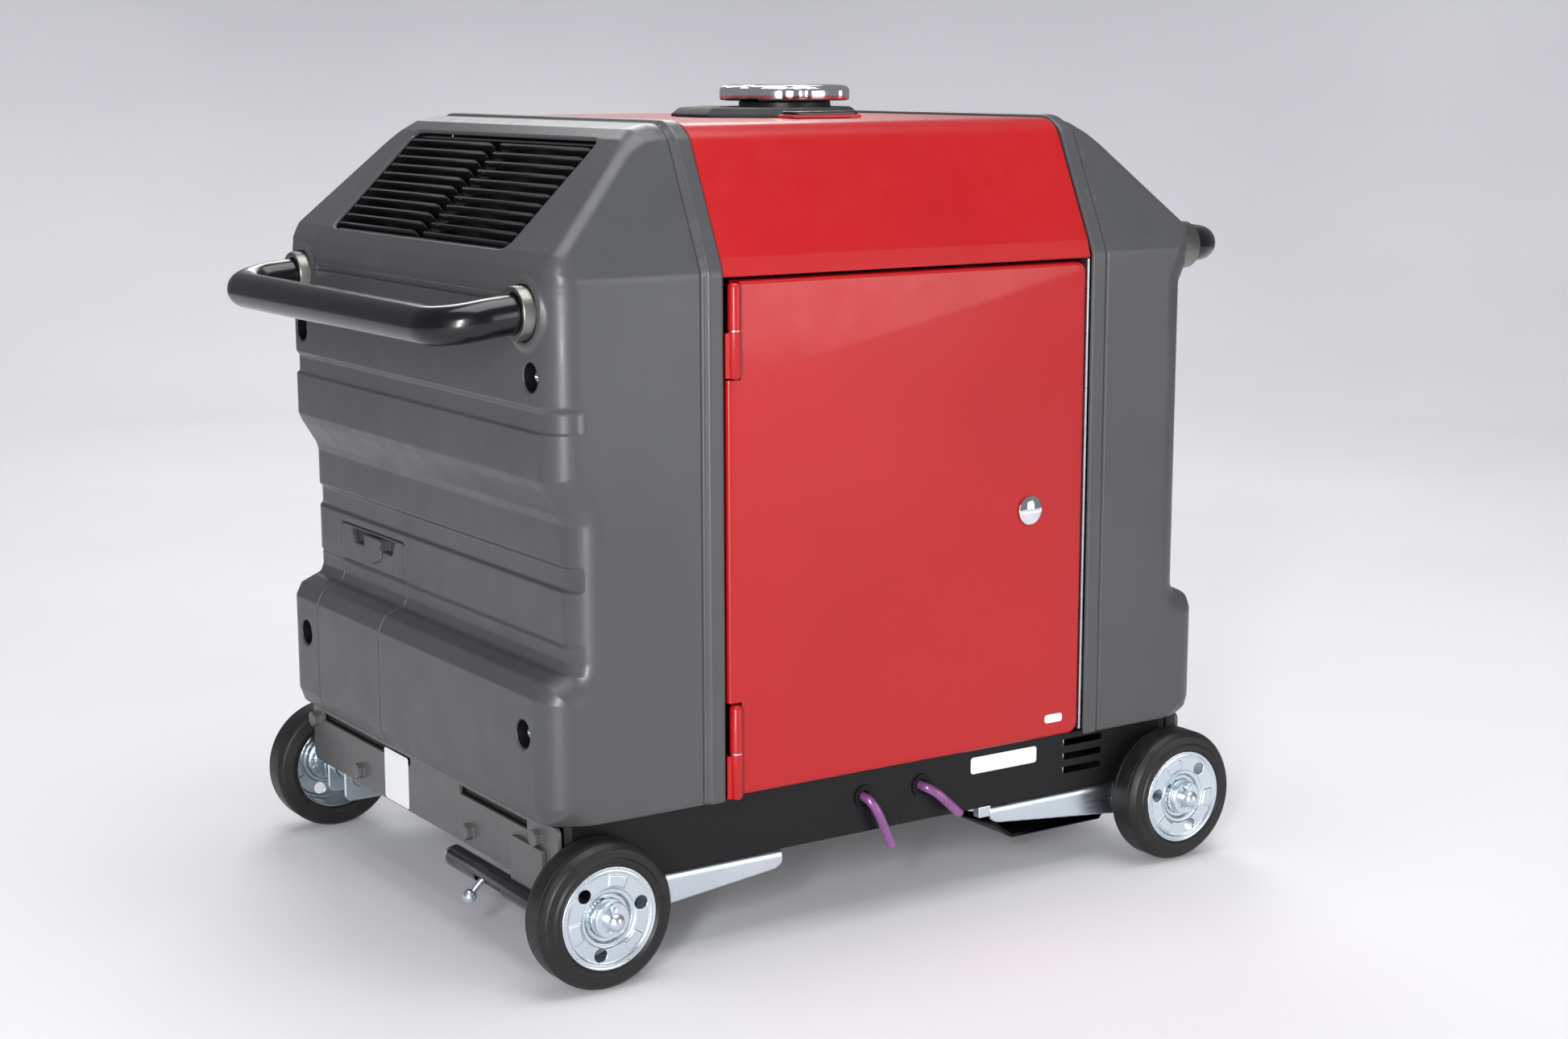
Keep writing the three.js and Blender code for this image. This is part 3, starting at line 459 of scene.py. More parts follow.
def carved(thing, cutters):
    """Cuts closed meshes out of a piece, for good."""
    for mesh in cutters:
        cutter = bpy.data.objects.new("cutter", mesh)
        bpy.context.collection.objects.link(cutter)
        cut = thing.modifiers.new("cut", "BOOLEAN")
        cut.object = cutter
        cut.operation = "DIFFERENCE"
        cut.solver = "EXACT"
        shape = thing.evaluated_get(bpy.context.evaluated_depsgraph_get())
        thing.modifiers.clear()
        result = bpy.data.meshes.new_from_object(shape)
        thing.data = result
        bpy.data.objects.remove(cutter)
    return thing


# ---------------------------------------------------------------- solids as distance fields
# A field holds the signed distance to a surface at each point of a grid, negative inside.
def grid(low, high, step):
    axes = [np.arange(a, b + step, step, dtype=np.float32) for a, b in zip(low, high)]
    return np.meshgrid(*axes, indexing="ij", sparse=True)


def outline_field(u, v, points):
    u, v = np.broadcast_arrays(u, v)
    nearest = np.full(u.shape, 1e9, np.float32)
    inside = np.zeros(u.shape, bool)
    for (au, av), (bu, bv) in zip(points, points[1:] + points[:1]):
        eu, ev = bu - au, bv - av
        if eu == 0 and ev == 0:
            continue
        along = np.clip(((u - au) * eu + (v - av) * ev) / (eu * eu + ev * ev), 0, 1)
        nearest = np.minimum(nearest, (u - au - eu * along) ** 2 + (v - av - ev * along) ** 2)
        if ev != 0:
            inside ^= ((av > v) != (bv > v)) & (u < au + (v - av) / ev * eu)
    return np.where(inside, -1, 1) * np.sqrt(nearest)


def common(a, b, radius=0.6):
    """What two solids share, with its new edges rounded."""
    outside = np.hypot(np.maximum(a + radius, 0), np.maximum(b + radius, 0))
    return np.minimum(-radius, np.maximum(a, b)) + outside


def less(a, b, radius=0.6):
    return common(a, -b, radius)


def plus(a, b, radius=0.6):
    return -common(-a, -b, radius)


def slab(u, low, high):
    return np.maximum(low - u, u - high)


def box_field(x, y, z, low, high, radius=0.6):
    spans = [slab(u, a, b) for u, a, b in zip((x, y, z), low, high)]
    return common(common(spans[0], spans[1], radius), spans[2], radius)


def step_up(value, start, end):
    t = np.clip((value - start) / (end - start), 0, 1)
    return t * t * (3 - 2 * t)


def slope_of(shape, p, h=0.2):
    """The field at each point, and the direction in which it grows."""
    here = shape(*p.T)
    slope = np.stack([shape(*(p + h * np.eye(3)[k]).T) - here for k in range(3)], axis=1) / h
    length = np.maximum(np.linalg.norm(slope, axis=1, keepdims=True), 1e-6)
    return here, slope / length


def skinned(name, shape, low, high, step):
    """The surface of a field as a mesh in metres, moved onto the exact shape and shaded by it."""
    field = np.clip(shape(*grid(low, high, step)), -3 * step, 3 * step).astype(np.float32)
    for side in (0, -1):
        field[side, :, :] = field[:, side, :] = field[:, :, side] = 3 * step
    volume = openvdb.FloatGrid(3.0 * step)
    volume.copyFromArray(field)
    volume.transform = openvdb.createLinearTransform(voxelSize=1.0)
    points, triangles, quads = volume.convertToPolygons(isovalue=0.0, adaptivity=0.0)
    p = points.astype(np.float64) * step + np.array(low)
    for _ in range(2):
        here, slope = slope_of(shape, p)
        p -= slope * np.clip(here, -0.5 * step, 0.5 * step)[:, None]
    normals = slope_of(shape, p)[1]
    mesh = bpy.data.meshes.new(name)
    faces = [tuple(f) for f in triangles.tolist()] + [tuple(f) for f in quads.tolist()]
    mesh.from_pydata((p * METRES).tolist(), [], faces)
    first = mesh.polygons[0]
    if Vector(normals[first.vertices[0]].tolist()).dot(first.normal) < 0:
        mesh.flip_normals()
    mesh.shade_smooth()
    mesh.normals_split_custom_set_from_vertices(normals.tolist())
    return mesh


def placed(mesh, matrix):
    """A copy of a shaded mesh, moved or mirrored with its shading."""
    own = mesh.copy()
    vertex_normals = [None] * len(mesh.vertices)
    for loop, normal in zip(mesh.loops, mesh.corner_normals):
        vertex_normals[loop.vertex_index] = tuple(matrix.to_3x3() @ normal.vector)
    own.transform(matrix)
    if matrix.determinant() < 0:
        own.flip_normals()
    own.normals_split_custom_set_from_vertices(vertex_normals)
    return own


# ---------------------------------------------------------------- end covers
NEAR_PROFILE = [(-262, 100), (-274, 107), (-278, 118), (-278, 190), (-273, 200), (-258, 206.5),
                (-256, 212), (-256, 300), (-258, 306), (-268.5, 323), (-271, 329), (-271, 449),
                (-269, 461), SLOPE_FOOT, SLOPE_TOP, (-184, 546), (-170, BODY_TOP), (40, BODY_TOP),
                (40, 60), (-255, 60)]
FAR_PROFILE = [(-258, 100), (-270, 107), (-274, 118), (-274, 188), (-270, 197), (-256, 203),
               (-254, 208), (-254, 430), (-260, 442), (-260, 462), (-258.5, 472), (-190.4, 539),
               (-180, 546), (-168, BODY_TOP), (40, BODY_TOP), (40, 60), (-250, 60)]
SECTION = [(-BODY_HALF_WIDTH, 30), (BODY_HALF_WIDTH, 30), (BODY_HALF_WIDTH, SHOULDER),
           (207, 465), (143.2, 600), (-143.2, 600), (-207, 465), (-BODY_HALF_WIDTH, SHOULDER)]


def corner_radius(z):
    """Large on the upright corners, small on the ridge beside the slope, soft at the top."""
    ridge = step_up(z, 446, 474)
    top = step_up(z, 528, 549)
    return 22 - 14 * ridge + 6 * top


def outer_form(x, y, z, profile, joint, dips):
    """The cover's outside as if it were solid, in the -X position."""
    face = outline_field(x, z, fillet(profile, 4, 4))
    side = outline_field(y, z, fillet(SECTION, 14, 4))
    form = common(face, side, corner_radius(z))
    facing = step_up(-x, 247, 253)
    for low, high, soft, depth in dips:
        dip = step_up(z, low, low + 1.6) * (1 - step_up(z, high - soft, high))
        form = form + depth * dip * facing
    flange = 2.2 * step_up(x, joint - 13.4, joint - 10.6)
    groove = 1.2 * (1 - np.clip(np.abs(x - joint + 15) / 1.5, 0, 1) ** 2)
    return form - flange + groove


def with_boss(form, x, y, z, face, height):
    """A raised collar around each handle end, blended into the cover."""
    for side in (-HANDLE_SPREAD, HANDLE_SPREAD):
        round_bar = np.hypot(y - side, z - height)
        collar = common(round_bar - 22.5, slab(x, face - 0.8, face + 12), 1.6)
        form = plus(form, collar, 3)
    return form


def bored(form, x, y, z, face, height):
    for side in (-HANDLE_SPREAD, HANDLE_SPREAD):
        bore = common(np.hypot(y - side, z - height) - 18, slab(x, face - 20, face + 30), 0.1)
        form = less(form, bore, 1.2)
    return form


def with_screw_cups(form, x, y, z, face, places):
    for side, height in places:
        away = np.hypot(y - side, z - height)
        cup = common(away - 12.5, slab(x, face + 1.5, face + 16), 1)
        form = plus(form, cup, 0.5)
        hollow = common(away - 9.6, slab(x, face - 10, face + 13), 0.1)
        form = less(form, hollow, 1.3)
    return form


NEAR_DIPS = ((359, 376.5, 4, 2.2), (257, 274.5, 3, 2.2), (204, 222, 1.6, 0.8), (220.8, 224, 1.5, 1.6))
FAR_DIPS = ((359, 376.5, 4, 1.2),)


def on_slope(x, z):
    """How far up the near slope a point is, and how far out of it."""
    middle = ((SLOPE_TOP[0] + SLOPE_FOOT[0]) / 2, (SLOPE_TOP[1] + SLOPE_FOOT[1]) / 2)
    angle = math.atan2(SLOPE_TOP[1] - SLOPE_FOOT[1], SLOPE_TOP[0] - SLOPE_FOOT[0])
    dx, dz = x - middle[0], z - middle[1]
    return (dx * math.cos(angle) + dz * math.sin(angle),
            -dx * math.sin(angle) + dz * math.cos(angle))


SLOPE_HALF = math.dist(SLOPE_TOP, SLOPE_FOOT) / 2
SHELL_STEP = 1.6


def service_field(x, y, z, gap):
    low = (-400, SERVICE_RIGHT + gap, 0)
    high = (-235, SERVICE_LEFT - gap, SERVICE_TOP - gap)
    return box_field(x, y, z, low, high, 3)


def near_shell(x, y, z):
    form = outer_form(x, y, z, NEAR_PROFILE, NEAR_JOINT, NEAR_DIPS)
    shell = less(with_boss(form, x, y, z, -271, 434), form + WALL, 0.8)
    shell = less(shell, box_field(x, y, z, (-250, -200, 0), (0, 200, 130)), 0.5)
    return common(common(shell, x - NEAR_JOINT + 0.2, 1.5), COVER_BOTTOM - z, 1.5)


def near_shape(x, y, z):
    shell = bored(near_shell(x, y, z), x, y, z, -271, 434)
    shell = with_screw_cups(shell, x, y, z, -271, ((-182, 394), (182, 394)))
    shell = with_screw_cups(shell, x, y, z, -278, ((-176, 164), (176, 164)))
    slot = box_field(x, y, z, (-290, -150, 439.5), (-268.6, 150, 443), 0.5)
    shell = less(shell, slot, 1.2)
    up, out = on_slope(x, z)
    mouth = outline_field(up + 0 * y, y + 0 * up, fillet(rectangle(
        -SLOPE_HALF, SLOPE_HALF, -GRILLE_HALF_WIDTH, GRILLE_HALF_WIDTH), 10, 5))
    shell = less(shell, common(mouth, slab(out, -25, 25), 0.5), 2.2)
    return less(shell, service_field(x, y, z, 0), 0.8)


def service_shape(x, y, z):
    form = outer_form(x, y, z, NEAR_PROFILE, NEAR_JOINT, NEAR_DIPS)
    shell = less(form, form + WALL, 0.8)
    shell = less(shell, box_field(x, y, z, (-250, -200, 0), (0, 200, 130)), 0.5)
    shell = common(shell, COVER_BOTTOM - z, 1.2)
    shell = common(shell, service_field(x, y, z, 0.5), 0.9)
    top = SERVICE_TOP - 2.5
    back = box_field(x, y, z, (-252, 57, top - 14), (-245.5, 139, top + 1), 0.8)
    shell = plus(shell, back, 0.5)
    pocket_outline = [(60, top), (66, top - 10), (130, top - 10), (136, top)]
    pocket = common(outline_field(y, z, pocket_outline), slab(x, -270, -248.5), 0.3)
    shell = less(shell, pocket, 0.9)
    shield = fillet([(84, top - 1), (111, top - 1), (111, top - 17), (97.5, top - 21), (84, top - 17)], 3)
    catch = common(outline_field(y, z, shield), slab(x, -257.6, -249), 0.8)
    return plus(shell, catch, 0.8)


def far_shape(x, y, z):
    """Drawn in the -X position, like the near cover."""
    joint = -FAR_JOINT
    form = outer_form(x, y, z, FAR_PROFILE, joint, FAR_DIPS)
    shell = less(with_boss(form, x, y, z, -260, 455), form + WALL, 0.8)
    shell = less(shell, box_field(x, y, z, (-250, -200, 0), (0, 200, 130)), 0.5)
    shell = common(common(shell, x - joint + 0.2, 1.5), COVER_BOTTOM - z, 1.5)
    shell = bored(shell, x, y, z, -260, 455)
    shell = with_screw_cups(shell, x, y, z, -274, ((-176, 160), (176, 160)))
    funnel = box_field(x, y, z, (-252, -154, 218), (-230, 154, 418), 3)
    shell = plus(shell, funnel, 0.8)
    mouth = fillet(rectangle(-150, 150, 222, 414), 6)
    shell = less(shell, common(outline_field(y, z, mouth), slab(x, -400, -224), 0.3), 1.8)
    for i in range(4):
        vent = box_field(x, y, z, (-400, -120, 124 + 16 * i), (-250, 120, 130 + 16 * i), 2.4)
        shell = less(shell, vent, 1.2)
    return shell


def covers():
    near = skinned("cover_near_skin", near_shape, (-290, -220, 100), (-142, 220, 556), SHELL_STEP)
    piece("cover_near_skin", near, GREY, stands_for=["cover_near"])
    service = skinned("service_cover_skin", service_shape, (-290, 38, 100), (-236, 160, 256), 1.2)
    piece("service_cover_skin", service, GREY, body=BODY_OF["service_cover"],
          stands_for=["service_cover"])
    far = skinned("cover_far_skin", far_shape, (-288, -220, 100), (-155, 220, 556), SHELL_STEP)
    far = placed(far, Matrix.Diagonal((-1, 1, 1, 1)))
    piece("cover_far_skin", far, GREY, stands_for=["cover_far"])


def cover_screws():
    """A plated cross-head screw in each screw cup, on a black washer in a black liner; washer and liner are
    painted shade that turns the cup's hollow black.
    """
    places = [(-271, s * 182, 394, -1) for s in (-1, 1)] + [(-278, s * 176, 164, -1) for s in (-1, 1)]
    places += [(274, s * 176, 160, 1) for s in (-1, 1)]
    for i, (face, y, z, end) in enumerate(places):
        seat = face - end * 12.6
        # The black liner and washer are painted shade: dark pieces set in the cup's hollow where only shade
        # falls.
        shade_liner = [(9.1, 0), (9.5, 0), (9.5, 11.6), (9.1, 11.6), (9.1, 0)]
        mesh = turned(f"screw_liner_{i}", [(r, end * h) for r, h in shade_liner], "x", (seat, y, z), 32)
        piece(f"screw_liner_{i}", mesh, BLACK_STEEL)
        washer = [(0, 0), (9.1, 0), (9.1, end * 0.8), (0, end * 0.8)]
        mesh = turned(f"screw_washer_{i}", washer, "x", (seat, y, z), 32)
        piece(f"screw_washer_{i}", mesh, BLACK_STEEL)
        head = [(0, 0.8), (3.9, 0.8), (3.9, 6.6), (2.8, 7.6), (0, 8)]
        mesh = turned(f"cover_screw_{i}", [(r, end * h) for r, h in head], "x", (seat, y, z), 32)
        thing = piece(f"cover_screw_{i}", mesh, ZINC)
        low, high = sorted((seat + end * 6.2, seat + end * 12))
        carved(thing, [prism("cross", rectangle(y - a, y + a, z - b, z + b), "x", low, high)
                       for a, b in ((2.3, 0.5), (0.5, 2.3))])


covers()
cover_screws()


# ---------------------------------------------------------------- air grille on the near slope
def from_slope(points):
    """Points as (up the slope, across, out of the slope) to the frame."""
    middle = Vector(((SLOPE_TOP[0] + SLOPE_FOOT[0]) / 2, 0, (SLOPE_TOP[1] + SLOPE_FOOT[1]) / 2))
    up = Vector((SLOPE_TOP[0] - SLOPE_FOOT[0], 0, SLOPE_TOP[1] - SLOPE_FOOT[1])).normalized()
    out = Vector((-up.z, 0, up.x))
    return [middle + up * a + Vector((0, b, 0)) + out * c for a, b, c in points]


def grille():
    half, long = GRILLE_HALF_WIDTH - 0.8, SLOPE_HALF - 0.8
    meshes = []
    for u0, u1, v0, v1, top in ((-long, long, -half, -half + 2, -4), (-long, long, half - 2, half, -4),
                                (-long, -long + 2, -half + 2, half - 2, -4),
                                (long - 2, long, -half + 2, half - 2, -4),
                                (-long + 1, long - 1, -1.6, 1.6, -10)):
        loops = [from_slope([(u, v, h) for u, v in rectangle(u0, u1, v0, v1)]) for h in (-13, top)]
        meshes.append(loft("rail", loops))
    # A solid black sheet behind the louvres is painted shade, standing in for the dark inside of the cover.
    shade_backing = rectangle(-long + 1, long - 1, -half + 1, half - 1)
    meshes.append(loft("shade_backing", [from_slope([(u, v, h) for u, v in shade_backing]) for h in (-14.4, -13.2)]))
    count, foot_depth, tip_depth, lean = 11, -12.5, -0.8, math.radians(14)
    pitch = 2 * long / (count + 0.4)
    for i in range(count):
        foot = -long + pitch * (i + 0.25)
        for v0, v1 in ((-half + 1.5, -4.5), (4.5, half - 1.5)):
            corners = [(v0, foot_depth), (v1, foot_depth), (v1, tip_depth), (v0, tip_depth)]
            outline = fillet(corners, [0, 0, 8, 8], 7)
            middle = (v0 + v1) / 2
            loops = []
            for shift, inset in ((-0.7, 0.5), (-0.35, 0.0), (0.35, 0.0), (0.7, 0.5)):
                loops.append(from_slope([
                    (foot + shift + (h - foot_depth) * math.tan(lean),
                     middle + (v - middle) * (1 - 2 * inset / (v1 - v0)),
                     h - inset if h > foot_depth + 1 else h) for v, h in outline]))
            meshes.append(loft("blade", loops))
    mesh = shade(joined("grille_louvres", meshes), 50)
    piece("grille_louvres", mesh, GRILLE_BLACK, stands_for=["grille_near"])


grille()


# ---------------------------------------------------------------- red panels
def top_panel():
    low_y = BODY_HALF_WIDTH - 0.4
    outer = fillet([(low_y, 453.2), (207, 465), (167.4, BODY_TOP), (-167.4, BODY_TOP), (-207, 465),
                    (-low_y, 453.2)], [0, 10, 22, 22, 10, 0], 8, closed=False)
    inner = fillet([(low_y - 1.6, 454.7), (205.2, 466), (166.4, BODY_TOP - 1.6), (-166.4, BODY_TOP - 1.6),
                    (-205.2, 466), (-low_y + 1.6, 454.7)], [0, 9, 20, 20, 9, 0], 8, closed=False)
    lip = [(low_y - 0.8, 452.4), (low_y - 12, 452.4), (low_y - 12, 453.9), (low_y - 1.6, 454.1)]
    section = outer + [(-y, z) for y, z in lip] + inner[::-1] + lip[::-1]
    mesh = shade(prism("top_panel_skin", section, "x", NEAR_JOINT + 0.6, FAR_JOINT - 0.6), 30)
    thing = piece("top_panel_skin", mesh, RED, stands_for=["top_panel"])
    softened(thing, 0.5, 2, 50)


def door(side, label):
    """A pressed steel tray: face, rounded rim, and a hem turned inwards."""
    body = BODY_OF[f"door_{label}"]
    face = BODY_HALF_WIDTH

    def loop(inset, depth):
        outline = fillet(rectangle(DOOR["left"] + inset, DOOR["right"] - inset,
                                   DOOR["bottom"] + inset, DOOR["top"] - inset), max(9 - inset, 2), 5)
        return [(u, side * (face - depth), v) for u, v in outline]

    rim = [(3.4 - 3.4 * math.sin(a), 3.4 - 3.4 * math.cos(a)) for a in np.linspace(0, math.pi / 2, 7)]
    back = [(0, 13.4), (0.4, 13.9), (1, 14), (11, 14), (11, 12.8), (1.3, 12.8), (1.3, 4.4), (2, 2.6),
            (4.4, 1.3)]
    mesh = shade(loft(f"door_{label}_skin", [loop(*p) for p in rim + back]), 35)
    thing = piece(f"door_{label}_skin", mesh, RED, body, [f"door_{label}"])
    cutters = []
    for z, reach in HINGES:
        outline = rectangle(DOOR["left"] - 2, HINGE_X + KNUCKLE + 1.2, z - 32, z + reach + 1)
        cutters.append(prism("notch", outline, "y", *sorted((side * 190, side * 220))))
    carved(thing, cutters)
    shade(thing.data, 35)
    for k, (z, reach) in enumerate(HINGES):
        barrel = [(0, 0.6), (KNUCKLE - 0.5, 0.6), (KNUCKLE, 1.1), (KNUCKLE, reach - 2.6),
                  (KNUCKLE - 0.7, reach - 0.9), (KNUCKLE - 2.2, reach - 0.1), (0, reach)]
        parts = [turned("barrel", barrel, "z", (HINGE_X, side * HINGE_Y, z), 32)]
        leaf = prism("leaf", rectangle(HINGE_X, HINGE_X + 9, z + 1, z + reach - 2), "y",
                     *sorted((side * (face - 0.2), side * (face - 1.8))))
        parts.append(leaf)
        piece(f"door_{label}_knuckle_{k}", shade(joined("knuckle", parts), 40), RED, body)
    pad = prism("pad", fillet(rectangle(-118, 140, 128, 430), 12), "y",
                *sorted((side * (face - 2), side * (face - 10))))
    softened(piece(f"door_{label}_foam", pad, FOAM, body), 2.5, 3)
    seal_outline = fillet(rectangle(-136, 149, 115, 443), 10)
    seal = [(u, side * (face - 15), v) for u, v in seal_outline]
    piece(f"door_{label}_seal", tube("seal", seal + seal[:1], 1.1, 10), RUBBER, body)


def fixed_hinge(side, label, z, which):
    barrel = [(0, -31), (KNUCKLE - 1.4, -30.8), (KNUCKLE, -29), (KNUCKLE, -0.5), (KNUCKLE - 0.5, 0), (0, 0)]
    centre = (HINGE_X, side * HINGE_Y, z)
    parts = [turned("barrel", barrel, "z", centre, 32)]
    parts.append(prism("leaf", rectangle(-146.4, HINGE_X, z - 30, z - 1), "y",
                       *sorted((side * (HINGE_Y - 1.2), side * (HINGE_Y + 1.2)))))
    root_span = sorted((side * 192.6, side * HINGE_Y))
    parts.append(prism("root", rectangle(-146.4, -144, z - 30, z - 1), "y", *root_span))
    piece(f"hinge_{label}_{which}_knuckle", shade(joined("fixed", parts), 40), RED,
          stands_for=[f"hinge_{label}_{which}"])
    rim = KNUCKLE - 0.3
    washer = turned("washer", [(0, -0.1), (rim, -0.1), (rim, 0.7), (0, 0.7)], "z", centre, 32)
    piece(f"hinge_{label}_{which}_washer", washer, ZINC)


def door_lock(side, label):
    body = BODY_OF[f"door_lock_{label}"]
    centre = (LOCK_X, side * 211, LOCK_Z)
    profile = [(0, -19.5), (4, -19.5), (4, 0.4), (10, 0.4), (10.4, 0.9), (10.3, 1.6), (9.0, 2.7),
               (6.0, 3.7), (3.0, 4.2), (0, 4.4)]
    mesh = turned(f"door_lock_{label}_head", [(r, side * h) for r, h in profile], "y", centre, 48)
    thing = piece(f"door_lock_{label}_head", mesh, CHROME, body, [f"door_lock_{label}"])
    carved(thing, [prism("slot", rectangle(LOCK_X - 8.2, LOCK_X + 8.2, LOCK_Z - 1.3, LOCK_Z + 1.3), "y",
                         *sorted((side * 213.4, side * 220)))])
    shade(thing.data, 35)
    cam = fillet(rectangle(LOCK_X - 6, LOCK_X + 6, LOCK_Z - 7, LOCK_Z + 41), 4)
    softened(piece(f"door_lock_{label}_cam", prism("cam", cam, "y", *sorted((side * 191.3, side * 193.6))),
                   ZINC, body), 0.4, 2)


top_panel()
for side, label in SIDES:
    door(side, label)
    door_lock(side, label)
    for (z, reach), which in zip(HINGES, ("upper", "lower")):
        fixed_hinge(side, label, z, which)


# ---------------------------------------------------------------- carrying handles
def handle(label):
    spec = HANDLES[label]
    end, height, drop = spec["end"], spec["height"], spec["drop"]
    tip = spec["reach"] - HANDLE_RADIUS
    bend_start = tip - HANDLE_BEND
    straight = 284
    half = [(250, HANDLE_SPREAD), (262, HANDLE_SPREAD), (274, HANDLE_SPREAD)]
    for angle in np.linspace(0, math.pi / 2, 19):
        half.append((bend_start + HANDLE_BEND * math.sin(angle),
                     HANDLE_SPREAD - HANDLE_BEND + HANDLE_BEND * math.cos(angle)))
    half += [(tip, y) for y in (110, 60)]
    path = half + [(x, -y) for x, y in reversed(half)]
    points = [(end * x, y, height - drop * max(0, (x - straight) / (tip - straight))) for x, y in path]
    piece(f"handle_{label}_bar", tube(f"handle_{label}_bar", points, HANDLE_RADIUS, 48), GLOSS_BLACK,
          stands_for=[f"handle_{label}"])
    for side, which in SIDES:
        centre = (0, side * HANDLE_SPREAD, height)
        outline = [(13.1, 256), (17.2, 256), (17.2, 278.6), (16.6, 279.5), (13.9, 279.5), (13.1, 278.7),
                   (13.1, 256)]
        mesh = turned("sleeve", [(r, end * h) for r, h in outline], "x", centre, 48)
        piece(f"handle_{label}_sleeve_{which}", mesh, DULL_STEEL,
              stands_for=[f"handle_sleeve_{label}_{which}"])
        seat = spec["seat"]
        # A thin black rubber ring in the gap between the sleeve and the bored boss is painted shade, standing
        # in for the dark of that gap.
        ring = [(17.3, seat - 8), (17.9, seat - 8), (17.9, seat - 0.8), (17.3, seat - 0.8), (17.3, seat - 8)]
        mesh = turned("ring", [(r, end * h) for r, h in ring], "x", centre, 48)
        piece(f"handle_{label}_ring_{which}", mesh, RUBBER)


handle("near")
handle("far")


# ---------------------------------------------------------------- wheels
def disc_shape(x, y, z):
    """The pressed wheel disc, facing -Y around the origin."""
    away = np.hypot(x, z)
    dish = np.interp(away, [0, 12.6, 13.4, 15.6, 17.2, 19.2, 20.4, 29.5, 31.2, 33.5, 40],
                     [-26.6, -26.6, -23.8, -23.8, -26.2, -26.2, -27.2, -27.2, -28.2, -27.4, -27.4])
    angle = np.arctan2(z, x)
    emboss = np.zeros_like(dish)
    for degrees in (60, 180, 300):
        turn = np.abs((angle - math.radians(degrees) + math.pi) % (2 * math.pi) - math.pi)
        edge = np.maximum(turn * away - 2.2 - 0.19 * away, np.maximum(20.8 - away, away - 29.2))
        emboss += 0.9 * (1 - step_up(edge, -1.1, 0.1))
    front = dish - emboss
    plate = common(np.maximum(front - y, y - front - 1.4), away - 34.1, 0.4)
    rim = common(slab(y, -28.2, -4), slab(away, 32.9, 34.3), 0.4)
    hub = common(slab(y, -29, 0), slab(away, 6.3, 12.2), 0.5)
    solid = plus(plus(plate, rim, 0.8), hub, 0.8)
    for degrees in (0, 120, 240):
        at = math.radians(degrees)
        hole = np.hypot(x - 24.6 * math.cos(at), z - 24.6 * math.sin(at)) - 4.5 + 0 * y
        solid = less(solid, hole, 0.5)
    return solid


TYRE_PROFILE = fillet([(34.4, -27.4), (36.4, -28.9), (39.0, -28.9), (40.2, -27.6), (45.2, -27.2),
                       (48.8, -22.6), (48.95, -12), (48.8, -4.6), (46.2, -1.2), (38, 0.8), (34.4, 0.2)],
                      [0.6, 0.8, 0.8, 0.8, 3.2, 3.5, 8, 3, 2.5, 2, 0.6], 4)


def tread_rings():
    """Two fine mould lines around the tread."""
    return [turned("mould_line", [(48.7, a), (49.0, a + 0.3), (49.0, a + 0.8), (48.7, a + 1.1), (48.7, a)],
                   "y", (0, 0, 0), 96) for a in (-20.5, -7.0)]


def cotter_points(centre):
    """A split pin through the axle's end: an eye above, and two legs bent apart below."""
    cx, cy, cz = centre
    turns = np.linspace(0.25, 2 * math.pi - 0.25, 12)
    eye = [(1.98 * math.sin(a), 8.2 - 2.4 * math.cos(a)) for a in turns]
    left = [(0.7, -2), (0.8, -6.6), (3.6, -8.2), (6.6, -7.4)]
    right = [(-0.7, -2), (-0.8, -6.2), (-4.2, -7.6)]
    path = left[::-1] + eye + right
    return [(cx + u, cy, cz + v) for u, v in path]


def moved(mesh, matrix):
    """A plain copy of a mesh in another place."""
    own = mesh.copy()
    own.transform(matrix)
    return own


def wheel(end, end_label, side, side_label, disc, rubber_mesh):
    name = f"{end_label}_{side_label}"
    centre = (end * WHEEL_X, 0, WHEEL_RADIUS)
    body = BODY_OF[f"tyre_{name}"]
    # A mesh drawn facing -Y is turned round for the +Y side; the disc's holes start where CAD has them.
    phase = math.radians(15 if end < 0 else 50)
    facing = Matrix.Scale(1, 4) if side < 0 else Matrix.Rotation(math.pi, 4, "Z")
    spin = Matrix.Rotation(-phase if side < 0 else -(math.pi - phase), 4, "Y")
    place = Matrix.Translation([c * METRES for c in (centre[0], side * 200, centre[2])])
    for kind, mesh, material, slot, turn in (("tyre", rubber_mesh, TYRE, "tyre_rubber", Matrix.Scale(1, 4)),
                                             ("wheel_disc", disc, ZINC, "zinc_plate", spin)):
        own = placed(mesh, place @ facing @ turn) if kind == "wheel_disc" else moved(mesh, place @ facing)
        piece(f"{kind}_{name}_part", own, material, body, [f"{kind}_{name}"])
    axle = [(0, 155), (6, 155), (6, 194.4), (9.5, 194.4), (9.5, 198.4), (6, 198.4), (6, 229.2), (12.2, 229.2),
            (12.2, 231.4), (11.6, 232), (6, 232), (6, 236.8), (5.2, 238.4), (2.4, 240.6), (0, 240.8)]
    mesh = turned(f"axle_{name}_bar", [(r, side * s) for r, s in axle], "y", centre, 40)
    piece(f"axle_{name}_bar", mesh, ZINC, stands_for=[f"axle_{name}"])
    pin = tube(f"cotter_{name}", cotter_points((centre[0], side * 234.4, centre[2])), 0.85, 10)
    piece(f"cotter_{name}", pin, ZINC)


disc = skinned("wheel_disc", disc_shape, (-37, -30, -37), (37, 2, 37), 0.7)
tyre = turned("tyre", TYRE_PROFILE + TYRE_PROFILE[:1], "y", (0, 0, 0), 128)
rubber_mesh = joined("tyre", [tyre] + tread_rings())
rubber_mesh = shade(rubber_mesh, 40)
for end, end_label in ((-1, "near"), (1, "far")):
    for side, side_label in SIDES:
        wheel(end, end_label, side, side_label, disc, rubber_mesh)


